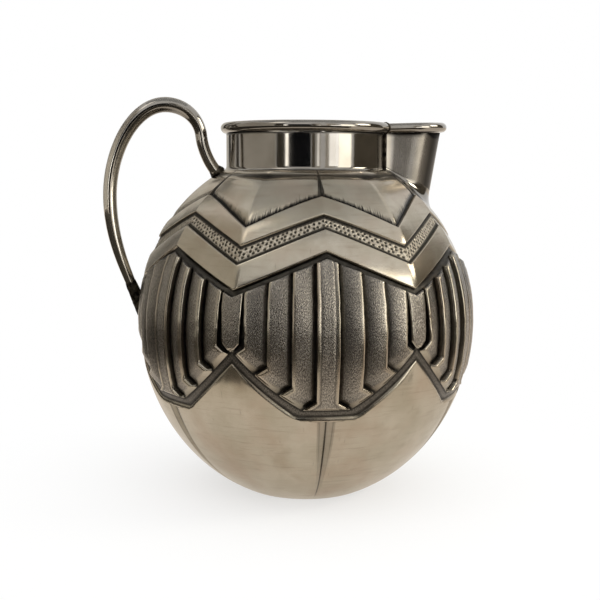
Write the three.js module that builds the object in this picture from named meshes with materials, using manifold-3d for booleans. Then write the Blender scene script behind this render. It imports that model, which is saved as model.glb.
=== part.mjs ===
// Silver water pitcher: a raised ball-shaped body chased with zigzag bands and a belt of pleated flutes,
// a plain neck with a rounded rim, a U-shaped pouring spout and a tapered rod handle, soldered together.
// Millimetres, +Z up. +X points along the spout and -X along the handle.
// The origin is the middle of the base.
import * as THREE from "three";
import { mergeVertices } from "three/addons/utils/BufferGeometryUtils.js";
import Module from "manifold-3d";

const wasm = await Module();
wasm.setup();

// Body before chasing
const bellyRadius = 82; // widest circle
const bellyHeight = 84; // height of the widest circle above the table
const baseRadius = 31.5; // flat base
const shoulderRise = 72.3; // from the widest circle up to the seat of the neck
const sheet = 0.9; // least wall, left under the deepest chasing
const floorThickness = 1.6;

// Joints between the pieces
const solderGap = 0.3; // clearance that the solder runs into
const filletWidth = 1.2; // leg of a solder fillet
const filletThroat = 0.4; // what its hollow corner leaves

// Neck and rims
const neckRadius = 39.1; // outside
const neckWall = 1.1;
const neckHeight = 17;
const neckBeadRadius = 2.5;
const neckBeadOverhang = 0.2; // how far the wire's middle lies outside the neck
const spoutBeadRadius = 2.25;
const spoutBeadOverhang = 0.9;

// Spout
const spoutReach = 27.1; // from the neck to the outside of the nose, at the top edge
const spoutHalfWidth = 15.5; // outside
const spoutNose = 18; // length of the rounded nose in plan
const spoutWall = 1;
const spoutLean = 9.5; // degrees that the nose leans outwards
const spoutLift = 1; // rise of the top edge from the neck to the nose
const spoutLedge = 0.8; // shoulder left standing inside the spout's foot

// Handle, in the plane of the spout: distances from the belly, the neck and the neck's seat
const handleSeatGap = 4.2; // upper end on the shoulder, out from the neck
const handleNeckGap = 12.1; // middle of the rod to the neck
const handleNeckRise = 16.2; // where the rod runs closest to upright beside the neck
const handleTopReach = 29.1; // top of the loop, out from the neck
const handleTopRise = 31.1; // top of the loop, above the neck's seat
const handleStandOff = 13.4; // back of the loop, out from the belly
const handleBackRise = 59; // back of the loop, above the widest circle
const handleFootRise = 7.5; // lower end on the belly, above the widest circle
const rodThickness = { shoulder: 5.4, neck: 4.8, top: 6.9, back: 6.2, foot: 4.6 };
const rodWidthShare = 1.15; // the rod is a little wider than it is thick
const handleRuns = {
  // slope of the rod at each joint of its curve, in degrees up from straight out, and how far it holds it
  shoulder: { slope: 45, before: 6, after: 6 },
  neck: { slope: 84, before: 6, after: 8 },
  top: { slope: 0, before: 9.5, after: 15 },
  back: { slope: -90, before: 22, after: 20 },
  foot: { slope: -113, before: 18, after: 18 },
};
const seamReach = 3.5; // length of a handle fillet along the rod, beyond the body
const mitreReach = 12; // the same at the foot, where the rod lies almost along the belly
const seamTip = 0.36; // how thick a handle fillet is at its thin end

// Chased pattern: heights are taken where a zigzag peaks and where it dips
const repeats = 6; // zigzag repeats round the body
const sideFlutes = 3; // flutes on each side of a lobe's middle flute, before the short one in the dip
const panelDrop = { peak: 11.4, dip: 24.3 }; // shoulder panels' lower edge, below the neck's seat
const upperBand = { peak: 8.1, dip: 9.3 }; // widths of the belts, from the top down
const dottedBand = { peak: 5.2, dip: 6.4 };
const lowerBand = { peak: 9.3, dip: 10.7 };
const grooveWidth = 2.6; // groove between the lower band and the flutes
const fluteFoot = { lobe: -30, dip: -4.1, sag: 2 }; // lower ends of the flutes, from the widest circle
const frameFoot = { lobe: -34.7, dip: -11.4, sag: 0.9 }; // outer edge of the sunk frame round those ends
const frameCorner = 3.6; // how much further than the flutes' the frame's level bottom runs on each side
const footKick = 5.8; // how far each pleat turns outwards at its foot
const footHeight = 3.6; // height of that turn
const slotWidth = { foot: 3, top: 1.6 }; // open slot on each side of the short flute, narrowing upwards
const edgeRun = 0.6; // width of the slope at each chased edge
const bellyCreaseWidth = 9; // crease under each lobe, at the frame
const shoulderCreaseWidth = 3.6; // crease between shoulder panels, at the upper band
const ringDrop = 2.6; // plain ring between the panels and the neck's seat
const facetShare = 0.85; // how flat the bands and panels are between peak and dip, from 0 for round to 1

// Depths of the chasing, measured from the plain body
const bandRise = 0.4;
const dottedDepth = 0.6;
const grooveDepth = 1.2;
const fluteRise = 0.8;
const fluteDip = 1.6;
const slotDepth = 1.9;
const frameDepth = 1.1;
const bellyCreaseDepth = 1;
const shoulderCreaseDepth = 1;
const panelPress = 0.8;
const ringPress = 0.4;

// Facets
const roundSegments = 72;
const cavitySegments = 48;
const cavitySteps = 14;
const noseSegments = 9;
const wireFacets = { steps: 34, corners: 9 };
const neckWireFacets = { steps: 60, corners: 9 };
const rodFacets = { steps: 46, corners: 12 };
const seamFacets = { steps: 6, corners: 12 };
const bellyRows = [0.05, 0.15, 0.28, 0.44, 0.62, 0.82]; // shares of the height up to the frame
const fluteRows = [0, 0.22, 0.45, 0.7, 1]; // shares of a pleat's height above its turned foot
const panelRows = [0.45, 0.8]; // shares of a panel's height where it has come up to the plain body
const weldDistance = 1e-4;

// Sizes that follow from the driving ones
const seatRadius = neckRadius + solderGap + filletWidth;
const seatHeight = bellyHeight + shoulderRise;
const bowlReach = bellyHeight / Math.sqrt(1 - (baseRadius / bellyRadius) ** 2);
const shoulderReach = shoulderRise / Math.sqrt(1 - (seatRadius / bellyRadius) ** 2);
const neckFoot = seatHeight + solderGap;
const neckTop = neckFoot + neckHeight;
const rimHeight = neckTop + solderGap + neckBeadRadius;
const spoutTop = rimHeight - spoutBeadRadius - solderGap;
const spoutTip = neckRadius + spoutReach;
const spoutSlope = Math.tan(THREE.MathUtils.degToRad(spoutLean));
const seamRoom = 2 * (solderGap + filletWidth); // where one fillet makes way for the next
const halfPitches = sideFlutes + 1;
const repeatAngle = (2 * Math.PI) / repeats;
const pitchAngle = repeatAngle / (2 * halfPitches);
const pitchWidth = bellyRadius * pitchAngle;

// Radius of the plain body at a height
function bodyRadius(height) {
  const reach = height < bellyHeight ? bowlReach : shoulderReach;
  return bellyRadius * Math.sqrt(1 - ((height - bellyHeight) / reach) ** 2);
}

// Height of the plain shoulder at a radius
function shoulderHeight(radius) {
  return bellyHeight + shoulderReach * Math.sqrt(1 - (radius / bellyRadius) ** 2);
}

// Point of the body's profile at a height, moved out along its normal, as radius and height
function profilePoint(height, rise) {
  const reach = height < bellyHeight ? bowlReach : shoulderReach;
  const radius = bodyRadius(height);
  const normal = new THREE.Vector2(radius / bellyRadius ** 2, (height - bellyHeight) / reach ** 2);
  return new THREE.Vector2(radius, height).addScaledVector(normal.normalize(), rise);
}

// How far the bands and panels lie inside the round body, which has two nearly flat sides per repeat there;
// share runs along such a side
function flattening(share, radius) {
  const turn = repeatAngle / 4;
  return facetShare * radius * (1 - Math.cos(turn) / Math.cos(turn * (2 * share - 1)));
}

// Turns a closed geometry into a solid for cutting and joining
function solid(geometry) {
  const bare = geometry.clone();
  bare.deleteAttribute("normal");
  bare.deleteAttribute("uv");
  const merged = mergeVertices(bare, weldDistance);
  const corners = merged.index.array;
  const kept = [];
  for (let k = 0; k < corners.length; k += 3) {
    const [a, b, c] = corners.slice(k, k + 3);
    if (a !== b && b !== c && c !== a) kept.push(a, b, c);
  }
  const vertProperties = Float32Array.from(merged.attributes.position.array);
  return new wasm.Manifold(new wasm.Mesh({ numProp: 3, vertProperties, triVerts: Uint32Array.from(kept) }));
}

// Named mesh of a finished solid
function piece(name, body, material) {
  const result = body.getMesh();
  const geometry = new THREE.BufferGeometry();
  geometry.setAttribute("position", new THREE.BufferAttribute(result.vertProperties, 3));
  geometry.setIndex(new THREE.BufferAttribute(result.triVerts, 1));
  geometry.computeVertexNormals();
  const mesh = new THREE.Mesh(geometry, material);
  mesh.name = name;
  return mesh;
}

// Closed skin over rings of points that run counter-clockwise about the direction in which they are stacked
function skin(rings) {
  const count = rings[0].length;
  const points = rings.flat();
  for (const end of [rings[0], rings.at(-1)]) {
    const middle = new THREE.Vector3();
    end.forEach((point) => middle.addScaledVector(point, 1 / count));
    points.push(middle);
  }
  const firstMiddle = points.length - 2;
  const lastMiddle = points.length - 1;
  const lastRing = (rings.length - 1) * count;
  const index = [];
  for (let k = 0; k < count; k++) {
    const next = (k + 1) % count;
    index.push(firstMiddle, next, k);
    index.push(lastMiddle, lastRing + k, lastRing + next);
    for (let base = 0; base < lastRing; base += count) {
      index.push(base + k, base + next, base + next + count);
      index.push(base + k, base + next + count, base + k + count);
    }
  }
  const geometry = new THREE.BufferGeometry().setFromPoints(points);
  geometry.setIndex(index);
  return solid(geometry);
}

// Solid of revolution about Z from a profile of radius and height that starts and ends on the axis or closes
function turned(profile, segments) {
  const geometry = new THREE.LatheGeometry(profile, segments);
  geometry.rotateX(Math.PI / 2);
  return solid(geometry);
}

// Rod of oval section along part of a curve; sizes gives half its width along side and half its thickness
function rod(curve, side, sizes, { from = 0, to = 1, steps, corners }) {
  const rings = [];
  for (let k = 0; k <= steps; k++) {
    const share = from + ((to - from) * k) / steps;
    const middle = curve.getPointAt(share);
    const along = curve.getTangentAt(share);
    const across = side.clone().addScaledVector(along, -side.dot(along)).normalize();
    const out = along.clone().cross(across);
    const [halfWidth, halfThickness] = sizes(share);
    const ring = [];
    for (let n = 0; n < corners; n++) {
      const turn = (2 * Math.PI * n) / corners;
      const point = middle.clone().addScaledVector(across, halfWidth * Math.cos(turn));
      ring.push(point.addScaledVector(out, halfThickness * Math.sin(turn)));
    }
    rings.push(ring);
  }
  return skin(rings);
}

function column(radius, bottom, top) {
  const profile = [
    new THREE.Vector2(0, bottom),
    new THREE.Vector2(radius, bottom),
    new THREE.Vector2(radius, top),
    new THREE.Vector2(0, top),
  ];
  return turned(profile, roundSegments);
}

// Columns of the chased skin over half a repeat, from a lobe's middle to the dip beside it. Each stands at
// a number of flute pitches from the lobe's middle, at the flutes' feet and at their tops, and has the height
// of the pleats there: every pleat climbs to its outer edge and drops to the next, and the short flute in the
// dip has a slot on each side.
function halfRepeat() {
  const slope = edgeRun / pitchWidth;
  const columns = [];
  const add = (rise, at, atTop = at) => columns.push({ rise, at, atTop });
  add(fluteRise, 0);
  for (let k = 0; k < sideFlutes; k++) {
    add(fluteRise, k + 0.5 - slope / 2);
    add(-fluteDip, k + 0.5 + slope / 2);
  }
  const slot = sideFlutes + 0.5;
  const foot = slotWidth.foot / pitchWidth / 2;
  const top = slotWidth.top / pitchWidth / 2;
  add(fluteRise, slot - foot, slot - top);
  add(-slotDepth, slot - foot + slope, slot - top + slope);
  add(-slotDepth, slot + foot - slope, slot + top - slope);
  add(fluteRise, slot + foot, slot + top);
  add(fluteRise, halfPitches);
  return columns;
}

// Columns of the whole ring, each with its lobe and the side of the lobe it lies on
function ringColumns() {
  const half = halfRepeat();
  const columns = [];
  for (let k = 0; k < repeats; k++) {
    const lobe = (k + 0.5) * repeatAngle;
    half.slice(1).reverse().forEach((entry) => columns.push({ ...entry, lobe, hand: -1 }));
    half.slice(0, -1).forEach((entry) => columns.push({ ...entry, lobe, hand: 1 }));
  }
  return columns;
}

// Where a column stands in the different belts, in pitches from the lobe's middle
const upright = (share) => (entry) => THREE.MathUtils.lerp(entry.at, entry.atTop, share);
const kick = footKick / pitchWidth;
function kicked({ at }) {
  if (at === 0) return 0;
  if (at <= sideFlutes) return at + kick;
  return sideFlutes + kick + (at - sideFlutes) * (1 - kick);
}
function gathered(width, height) {
  const pitch = bodyRadius(height) * pitchAngle;
  return ({ at }) => (at < 0.5 ? (at * width) / pitch : at);
}

// Edges of the belts as heights; share runs from 0 at a lobe's middle to 1 in the dip
const zigzag = (peak, dip) => (share) => seatHeight - THREE.MathUtils.lerp(peak, dip, share);
function lobed({ lobe, dip, sag }, levelPitches) {
  const level = levelPitches / halfPitches;
  return (share) => {
    const climb = Math.max(0, (share - level) / (1 - level));
    return bellyHeight + THREE.MathUtils.lerp(lobe, dip, climb) - sag * Math.sin(Math.PI * climb);
  };
}
const bandEdges = [panelDrop];
for (const belt of [upperBand, dottedBand, lowerBand, { peak: grooveWidth, dip: grooveWidth }]) {
  const above = bandEdges.at(-1);
  bandEdges.push({ peak: above.peak + belt.peak, dip: above.dip + belt.dip });
}
const [panelEdge, upperEdge, dottedEdge, lowerEdge, fluteTop] = bandEdges.map((e) => zigzag(e.peak, e.dip));
const fluteEnd = lobed(fluteFoot, 0.5 + kick);
const frameEdge = lobed(frameFoot, 0.5 + kick + frameCorner / pitchWidth);

// Rows of the chased skin from the base up: where its columns stand, its height and its relief
function chasedRows() {
  const rows = [];
  const row = (place, height, rise) => rows.push({ place, height, rise });
  const flatRow = (place, height, rise) => rows.push({ place, height, rise, flattened: true });
  const even = (value) => () => value;
  const creased = (rise, depth) => (entry) => (entry.at === 0 ? rise - depth : rise);
  const pleated = (entry) => entry.rise;
  const bellyCrease = gathered(bellyCreaseWidth, bellyHeight + fluteFoot.lobe);
  row(bellyCrease, even(0), even(0));
  for (const share of bellyRows) {
    row(bellyCrease, (s) => share * frameEdge(s), creased(0, bellyCreaseDepth * share));
  }
  row(kicked, frameEdge, creased(0, bellyCreaseDepth));
  row(kicked, (s) => frameEdge(s) + edgeRun, even(-frameDepth));
  row(kicked, (s) => fluteEnd(s) - edgeRun, even(-frameDepth));
  row(kicked, fluteEnd, pleated);
  for (const share of fluteRows) {
    const start = (entry) => fluteEnd(kicked(entry) / halfPitches) + footHeight;
    row(upright(share), (s, entry) => THREE.MathUtils.lerp(start(entry), fluteTop(s), share), pleated);
  }
  const band = upright(1);
  row(band, (s) => fluteTop(s) + edgeRun, even(-grooveDepth));
  flatRow(band, (s) => lowerEdge(s) - edgeRun, even(-grooveDepth));
  flatRow(band, lowerEdge, even(bandRise));
  flatRow(band, dottedEdge, even(bandRise));
  flatRow(band, (s) => dottedEdge(s) + edgeRun, even(-dottedDepth));
  flatRow(band, (s) => upperEdge(s) - edgeRun, even(-dottedDepth));
  flatRow(band, upperEdge, even(bandRise));
  flatRow(band, panelEdge, even(bandRise));
  const ring = seatHeight - ringDrop;
  const crease = gathered(shoulderCreaseWidth, seatHeight - panelDrop.peak);
  const panel = (s, climb) => THREE.MathUtils.lerp(panelEdge(s) + edgeRun, ring, climb);
  flatRow(crease, (s) => panel(s, 0), creased(-panelPress, shoulderCreaseDepth - panelPress));
  for (const climb of panelRows) {
    flatRow(crease, (s) => panel(s, climb), creased(0, shoulderCreaseDepth * (1 - climb)));
  }
  row(crease, even(ring), even(-ringPress));
  row(band, even(seatHeight), even(0));
  return rows;
}

// Body with its chasing, grown by an offset
function chasedSolid(growth) {
  const columns = ringColumns();
  const rings = chasedRows().map(({ place, height, rise, flattened }) =>
    columns.map((entry) => {
      const at = place(entry);
      const azimuth = entry.lobe + entry.hand * at * pitchAngle;
      const share = at / halfPitches;
      const point = profilePoint(height(share, entry), rise(entry) + growth);
      if (flattened) point.x -= flattening(share, point.x);
      return new THREE.Vector3(point.x * Math.cos(azimuth), point.x * Math.sin(azimuth), point.y);
    }),
  );
  return skin(rings);
}

// What the pieces that stand on the body are cut by
const bodyCut = chasedSolid(solderGap);

// Hollow of the body, from the floor up through the mouth, with the shoulder as flat as outside
function cavity() {
  const inset = Math.max(grooveDepth, slotDepth, frameDepth, bellyCreaseDepth) + sheet;
  const mouth = neckRadius - neckWall;
  const wide = bellyRadius - inset;
  const rise = (shoulderReach - inset) * Math.sqrt(1 - (mouth / wide) ** 2);
  const rings = [];
  const addRing = (radius, height, flattened) => {
    const ring = [];
    for (let n = 0; n < cavitySegments; n++) {
      const azimuth = (2 * Math.PI * n) / cavitySegments;
      const share = ((2 * azimuth) / repeatAngle) % 1;
      const reach = flattened ? radius - flattening(share, radius) : radius;
      ring.push(new THREE.Vector3(reach * Math.cos(azimuth), reach * Math.sin(azimuth), height));
    }
    rings.push(ring);
  };
  for (let k = 0; k <= cavitySteps; k++) {
    const height = THREE.MathUtils.lerp(floorThickness, bellyHeight + rise, k / cavitySteps);
    const reach = (height < bellyHeight ? bowlReach : shoulderReach) - inset;
    const radius = wide * Math.sqrt(1 - ((height - bellyHeight) / reach) ** 2);
    addRing(radius, height, height > bellyHeight && k < cavitySteps);
  }
  addRing(mouth, neckTop, false);
  return skin(rings);
}

// Plan of the spout, from inside the neck round the nose and back, drawn in from its outside by an inset
function spoutPlan(inset) {
  const half = spoutHalfWidth - inset;
  const noseStart = spoutTip - spoutNose;
  const plan = new THREE.Shape();
  plan.moveTo(0, -half);
  plan.lineTo(noseStart, -half);
  plan.absellipse(noseStart, 0, spoutNose - inset, half, -Math.PI / 2, Math.PI / 2, false, 0);
  plan.lineTo(0, half);
  return plan;
}

// Place on the spout: the nose leans out and the top edge lifts away from the neck
function leanSpout(point) {
  const lean = spoutSlope * (point.z - spoutTop);
  point.z += (spoutLift * (point.x - neckRadius)) / spoutReach;
  point.x += lean;
  return point;
}

// Leaning column over the spout's plan, from under the shoulder up to a height
function spoutColumn(inset, top) {
  const bottom = shoulderHeight(spoutTip);
  const geometry = new THREE.ExtrudeGeometry(spoutPlan(inset), {
    depth: top - bottom,
    bevelEnabled: false,
    curveSegments: noseSegments,
  });
  geometry.translate(0, 0, bottom);
  const places = geometry.attributes.position;
  for (let k = 0; k < places.count; k++) {
    const point = leanSpout(new THREE.Vector3().fromBufferAttribute(places, k));
    places.setXYZ(k, point.x, point.y, point.z);
  }
  return solid(geometry);
}

// Middle of the spout's rim wire, from the inside of the neck's wire round the nose and back
function spoutBeadPath() {
  const outline = spoutPlan(-spoutBeadOverhang);
  const start = neckRadius + neckBeadOverhang - neckBeadRadius;
  const half = spoutHalfWidth + spoutBeadOverhang;
  const first = Math.sqrt(start ** 2 - half ** 2);
  const points = outline.getPoints(noseSegments).filter((point) => point.x > first + spoutBeadRadius);
  points.unshift(new THREE.Vector2(first, -half));
  points.push(new THREE.Vector2(first, half));
  const places = points.map((point) => {
    const place = leanSpout(new THREE.Vector3(point.x, point.y, spoutTop));
    return place.setZ(place.z + solderGap + spoutBeadRadius);
  });
  return new THREE.CatmullRomCurve3(places, false, "centripetal");
}

const up = new THREE.Vector3(0, 0, 1);
function spoutBead(growth) {
  const radius = spoutBeadRadius + growth;
  return rod(spoutBeadPath(), up, () => [radius, radius], wireFacets);
}

// Wire round the neck's top, ending where it is coped to the wires of the spout
function neckBead() {
  const radius = neckRadius + neckBeadOverhang;
  const end = Math.asin((spoutHalfWidth + spoutBeadOverhang) / radius);
  const arc = new THREE.EllipseCurve(0, 0, radius, radius, end, 2 * Math.PI - end);
  const places = arc.getPoints(roundSegments).map((point) => new THREE.Vector3(point.x, point.y, rimHeight));
  const path = new THREE.CatmullRomCurve3(places);
  const wire = rod(path, up, () => [neckBeadRadius, neckBeadRadius], neckWireFacets);
  return wire.subtract(spoutBead(solderGap));
}

function neckCollar() {
  const inside = neckRadius - neckWall;
  const profile = [
    new THREE.Vector2(inside, neckFoot),
    new THREE.Vector2(neckRadius, neckFoot),
    new THREE.Vector2(neckRadius, neckTop),
    new THREE.Vector2(inside, neckTop),
    new THREE.Vector2(inside, neckFoot),
  ];
  return turned(profile, roundSegments).subtract(spoutColumn(spoutWall, rimHeight));
}

function spoutSheet() {
  return spoutColumn(0, spoutTop)
    .subtract(spoutColumn(spoutWall, rimHeight))
    .subtract(column(neckRadius + solderGap, 0, rimHeight))
    .subtract(bodyCut);
}

// Hollow-cornered fillet on the neck's seat, open at the spout
function neckSeam() {
  const inside = neckRadius + solderGap;
  const profile = [
    new THREE.Vector2(inside, neckFoot),
    new THREE.Vector2(inside + filletWidth, neckFoot),
    new THREE.Vector2(inside + filletThroat, neckFoot + filletThroat),
    new THREE.Vector2(inside, neckFoot + filletWidth),
    new THREE.Vector2(inside, neckFoot),
  ];
  return turned(profile, roundSegments).subtract(spoutColumn(-seamRoom, rimHeight));
}

// Fillet along the spout's foot, on the shoulder
function spoutFootSeam() {
  return spoutColumn(-solderGap - filletWidth, spoutTop)
    .subtract(spoutColumn(-solderGap, rimHeight))
    .intersect(chasedSolid(solderGap + filletWidth))
    .subtract(bodyCut)
    .subtract(column(neckRadius + seamRoom, 0, rimHeight));
}

// Upright fillet in the corner between the spout's side and the neck
function spoutSideSeam(hand) {
  const radius = filletWidth / 2;
  const y = spoutHalfWidth + solderGap + radius;
  const x = Math.sqrt((neckRadius + solderGap + radius) ** 2 - y ** 2);
  const height = spoutTop - solderGap - neckFoot;
  const geometry = new THREE.CylinderGeometry(radius, radius, height, seamFacets.corners);
  geometry.rotateX(Math.PI / 2);
  geometry.translate(x, hand * y, neckFoot + height / 2);
  return solid(geometry);
}

// Middle line of the handle: shoulder, upright beside the neck, over the top, round the back, onto the belly
function handlePath() {
  const place = (radius, height) => new THREE.Vector3(-radius, 0, height);
  const upperRadius = neckRadius + handleSeatGap;
  const lowerHeight = bellyHeight + handleFootRise;
  const middles = [
    place(upperRadius, shoulderHeight(upperRadius)),
    place(neckRadius + handleNeckGap, seatHeight + handleNeckRise),
    place(neckRadius + handleTopReach, seatHeight + handleTopRise),
    place(bellyRadius + handleStandOff, bellyHeight + handleBackRise),
    place(bodyRadius(lowerHeight), lowerHeight),
  ];
  const joints = Object.values(handleRuns).map(({ slope, before, after }, k) => {
    const turn = THREE.MathUtils.degToRad(slope);
    const along = place(Math.cos(turn), Math.sin(turn));
    const middle = middles[k];
    const start = middle.clone().addScaledVector(along, -before);
    return { start, middle, end: middle.clone().addScaledVector(along, after) };
  });
  const path = new THREE.CurvePath();
  path.add(new THREE.LineCurve3(joints[0].start, joints[0].middle));
  for (let k = 0; k + 1 < joints.length; k++) {
    const [a, b] = [joints[k], joints[k + 1]];
    path.add(new THREE.CubicBezierCurve3(a.middle, a.end, b.start, b.middle));
  }
  path.add(new THREE.LineCurve3(joints.at(-1).middle, joints.at(-1).end));
  return path;
}

const handle = handlePath();
const handleShares = handle.getCurveLengths().map((length) => length / handle.getLength());

// Half width and half thickness of the rod at a share of its length, swelling over the top of the loop
function rodSizes(share, growth) {
  const stations = [rodThickness.shoulder, ...Object.values(rodThickness), rodThickness.foot];
  const k = Math.max(0, handleShares.findIndex((end) => share <= end));
  const start = k > 0 ? handleShares[k - 1] : 0;
  const blend = THREE.MathUtils.smoothstep(share, start, handleShares[k]);
  const thickness = THREE.MathUtils.lerp(stations[k], stations[k + 1], blend);
  return [(thickness * rodWidthShare) / 2 + growth, thickness / 2 + growth];
}

const across = new THREE.Vector3(0, 1, 0);
const neckCut = column(seatRadius + solderGap, 0, rimHeight);

function handleRod() {
  const bar = rod(handle, across, (share) => rodSizes(share, 0), rodFacets);
  return bar.subtract(bodyCut);
}

// Fillet round an end of the handle, thick at the body and thin on the rod
function handleSeam(from, to, bodyShare) {
  const sizes = (share) => {
    const near = 1 - Math.abs(share - bodyShare) / Math.abs(to - from);
    return rodSizes(share, solderGap + THREE.MathUtils.lerp(seamTip, filletWidth, Math.max(0, near)));
  };
  const sleeve = rod(handle, across, sizes, { from, to, ...seamFacets });
  const hole = rod(handle, across, (share) => rodSizes(share, solderGap), rodFacets);
  return sleeve.subtract(hole).subtract(bodyCut).subtract(neckCut);
}

function bodyShell() {
  return chasedSolid(0)
    .subtract(cavity())
    .subtract(spoutColumn(spoutWall + spoutLedge, rimHeight));
}

// Finishes
const silver = () => new THREE.MeshStandardMaterial({ color: 0xb5aa98, metalness: 1, roughness: 0.25 });
const chased = () => new THREE.MeshStandardMaterial({ color: 0x9a9080, metalness: 1, roughness: 0.38 });
const solder = () => new THREE.MeshStandardMaterial({ color: 0x6a6258, metalness: 1, roughness: 0.5 });

const handleLength = handle.getLength();
const upperEnd = handleShares[0];
const lowerEnd = handleShares.at(-2);

const pitcher = new THREE.Group();
pitcher.name = "silver_pitcher";
pitcher.add(
  piece("body_shell", bodyShell(), chased()),
  piece("neck_collar", neckCollar(), silver()),
  piece("neck_rim_bead", neckBead(), silver()),
  piece("spout_wall", spoutSheet(), silver()),
  piece("spout_rim_bead", spoutBead(0), silver()),
  piece("handle_rod", handleRod(), silver()),
  piece("neck_solder_seam", neckSeam(), solder()),
  piece("spout_shoulder_solder_seam", spoutFootSeam(), solder()),
  piece("spout_neck_solder_front", spoutSideSeam(-1), solder()),
  piece("spout_neck_solder_rear", spoutSideSeam(1), solder()),
  piece("handle_upper_solder", handleSeam(0, upperEnd + seamReach / handleLength, upperEnd), solder()),
  piece("handle_lower_solder", handleSeam(lowerEnd - mitreReach / handleLength, 1, lowerEnd), solder()),
);

export default pitcher;
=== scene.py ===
"""Looks of a hand-raised silver pitcher with a chased body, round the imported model.

Sizes are in millimetres unless a comment says otherwise. +X is the spout's side, -X the handle's, +Z is up.
"""

import math

import bpy
import numpy as np
from mathutils import Matrix, Vector


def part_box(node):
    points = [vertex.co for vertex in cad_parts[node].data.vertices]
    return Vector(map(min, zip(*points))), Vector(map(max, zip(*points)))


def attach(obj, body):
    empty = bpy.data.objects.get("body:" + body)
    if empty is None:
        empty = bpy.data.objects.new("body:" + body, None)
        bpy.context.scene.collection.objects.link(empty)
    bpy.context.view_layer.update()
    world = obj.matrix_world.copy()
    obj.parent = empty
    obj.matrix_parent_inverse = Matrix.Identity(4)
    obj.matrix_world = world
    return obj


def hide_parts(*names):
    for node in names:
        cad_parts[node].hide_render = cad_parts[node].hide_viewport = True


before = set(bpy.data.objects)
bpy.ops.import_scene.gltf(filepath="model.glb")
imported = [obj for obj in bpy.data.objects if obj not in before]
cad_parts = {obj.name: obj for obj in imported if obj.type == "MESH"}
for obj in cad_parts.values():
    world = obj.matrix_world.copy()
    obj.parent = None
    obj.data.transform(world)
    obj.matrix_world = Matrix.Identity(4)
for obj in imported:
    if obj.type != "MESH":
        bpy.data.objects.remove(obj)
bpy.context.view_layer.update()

MM = 0.001
WELD = 0.001


def corners(node):
    """Lowest and highest corner of a node."""
    return [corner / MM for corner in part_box(node)]


# Sizes read from the frame
neck_low, neck_high = corners("neck_collar")
NECK_RADIUS = neck_high.y
NECK_FOOT = neck_low.z
NECK_TOP = neck_high.z
spout_high = corners("spout_wall")[1]
SPOUT_TIP = spout_high.x
SPOUT_HALF = spout_high.y

# Body before chasing
BELLY_RADIUS = 82.0
BELLY_HEIGHT = 84.0
BASE_RADIUS = 31.5
SEAT_RADIUS = 40.6
SEAT_HEIGHT = 156.3
WALL = 4.2
HOLLOW_FLOOR = 1.6
BOWL_REACH = BELLY_HEIGHT / math.sqrt(1 - (BASE_RADIUS / BELLY_RADIUS) ** 2)
SHOULDER_REACH = (SEAT_HEIGHT - BELLY_HEIGHT) / math.sqrt(1 - (SEAT_RADIUS / BELLY_RADIUS) ** 2)
INSIDE_ROWS = 18

# Neck and rims
JOINT_GAP = 0.3
NECK_WALL = 1.1
NECK_BEAD = 2.5
NECK_BEAD_OVERHANG = 0.2
NECK_FILLET_WIDTH = 2.4
NECK_FILLET_HEIGHT = 1.6
NECK_COLUMNS = 161
NECK_BEAD_STEPS = 181
RIM_HEIGHT = NECK_TOP + JOINT_GAP + NECK_BEAD

# Spout
SPOUT_BEAD = 2.25
SPOUT_BEAD_OVERHANG = 0.9
SPOUT_WALL = 1.0
SPOUT_LEDGE = 0.8
SPOUT_NOSE = 18.0
SPOUT_LEAN = math.tan(math.radians(9.5))
SPOUT_LIFT = 1.0
SPOUT_HOLLOW = 1.4
SPOUT_HOLLOW_SHARE = 0.45
SPOUT_SINK = 0.3
SPOUT_FILLET_SIDE = 3.3
SPOUT_FILLET_NOSE = 3.4
SPOUT_FILLET_RUN = 22.0
SPOUT_SIDE_COLUMNS = 14
SPOUT_NOSE_COLUMNS = 60
SPOUT_TOP = RIM_HEIGHT - SPOUT_BEAD - JOINT_GAP
FILLET_STEPS = 10

# Handle; its slopes are in degrees, 0 away from the neck and 90 up
HANDLE_SEAT_GAP = 4.2
HANDLE_SEAT_SLOPE = 45
HANDLE_FOOT_RISE = 7.5
HANDLE_FOOT_SLOPE = -113
HANDLE_WIDEN = 1.15
HANDLE_TRIM = 0.03
HANDLE_SINK = 0.25
HANDLE_STEPS = 24
HANDLE_TAIL = (4, 8, 12)

# Chased pattern: six repeats of a zigzag, with eight flutes in each. An edge has its drop below the seat,
# and a band its width, at the peaks and in the dips. The two lobed edges, FLUTE_END and FRAME_EDGE, have
# their rise above the belly's height at the lobe and in the dip, and their sag.
REPEATS = 6
HALF_PITCHES = 4
PITCH_ANGLE = math.pi / REPEATS / HALF_PITCHES
PITCH = BELLY_RADIUS * PITCH_ANGLE
PANEL_EDGE = (11.4, 24.9)
UPPER_BAND = (7.4, 7.2)
DOTTED_BAND = (6.4, 8.4)
LOWER_BAND = (8.8, 10.2)
GROOVE = 2.6
EDGE_RUN = 0.65
FLUTE_END = (-30.0, -4.1, 2.0)
FLUTE_CLEAR = 0.4
FRAME_EDGE = (-34.7, -11.4, 0.9)
FRAME_CORNER = 3.6
FRAME_BEVEL = 1.7
FOOT_KICK = 5.8 / PITCH
FOOT_HEIGHT = 3.6
SLOT_FOOT = 1.5
SLOT_TOP = 0.55
RING_HEIGHT = SEAT_HEIGHT - 2.0
PANEL_START = 0.6
PANEL_END = 1.8

# Places of the chasing from a lobe's middle to the dip, in pitches
CREASE_LINE = 0.075
CREASE_INSIDE = 0.35
CREASE_EDGE = 0.37
CREASE_SPREAD = 0.72
MIDDLE_EDGE = 0.445
SLOT_PLACE = 3.5

# Half widths of the creases, at the lower and the upper end
BELLY_CREASE = (0.9, 3.5)
PANEL_CREASE = (1.9, 0.75)
RING_CREASE = (0.75, 0.35)
SEAT_CREASE = 0.3

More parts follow.
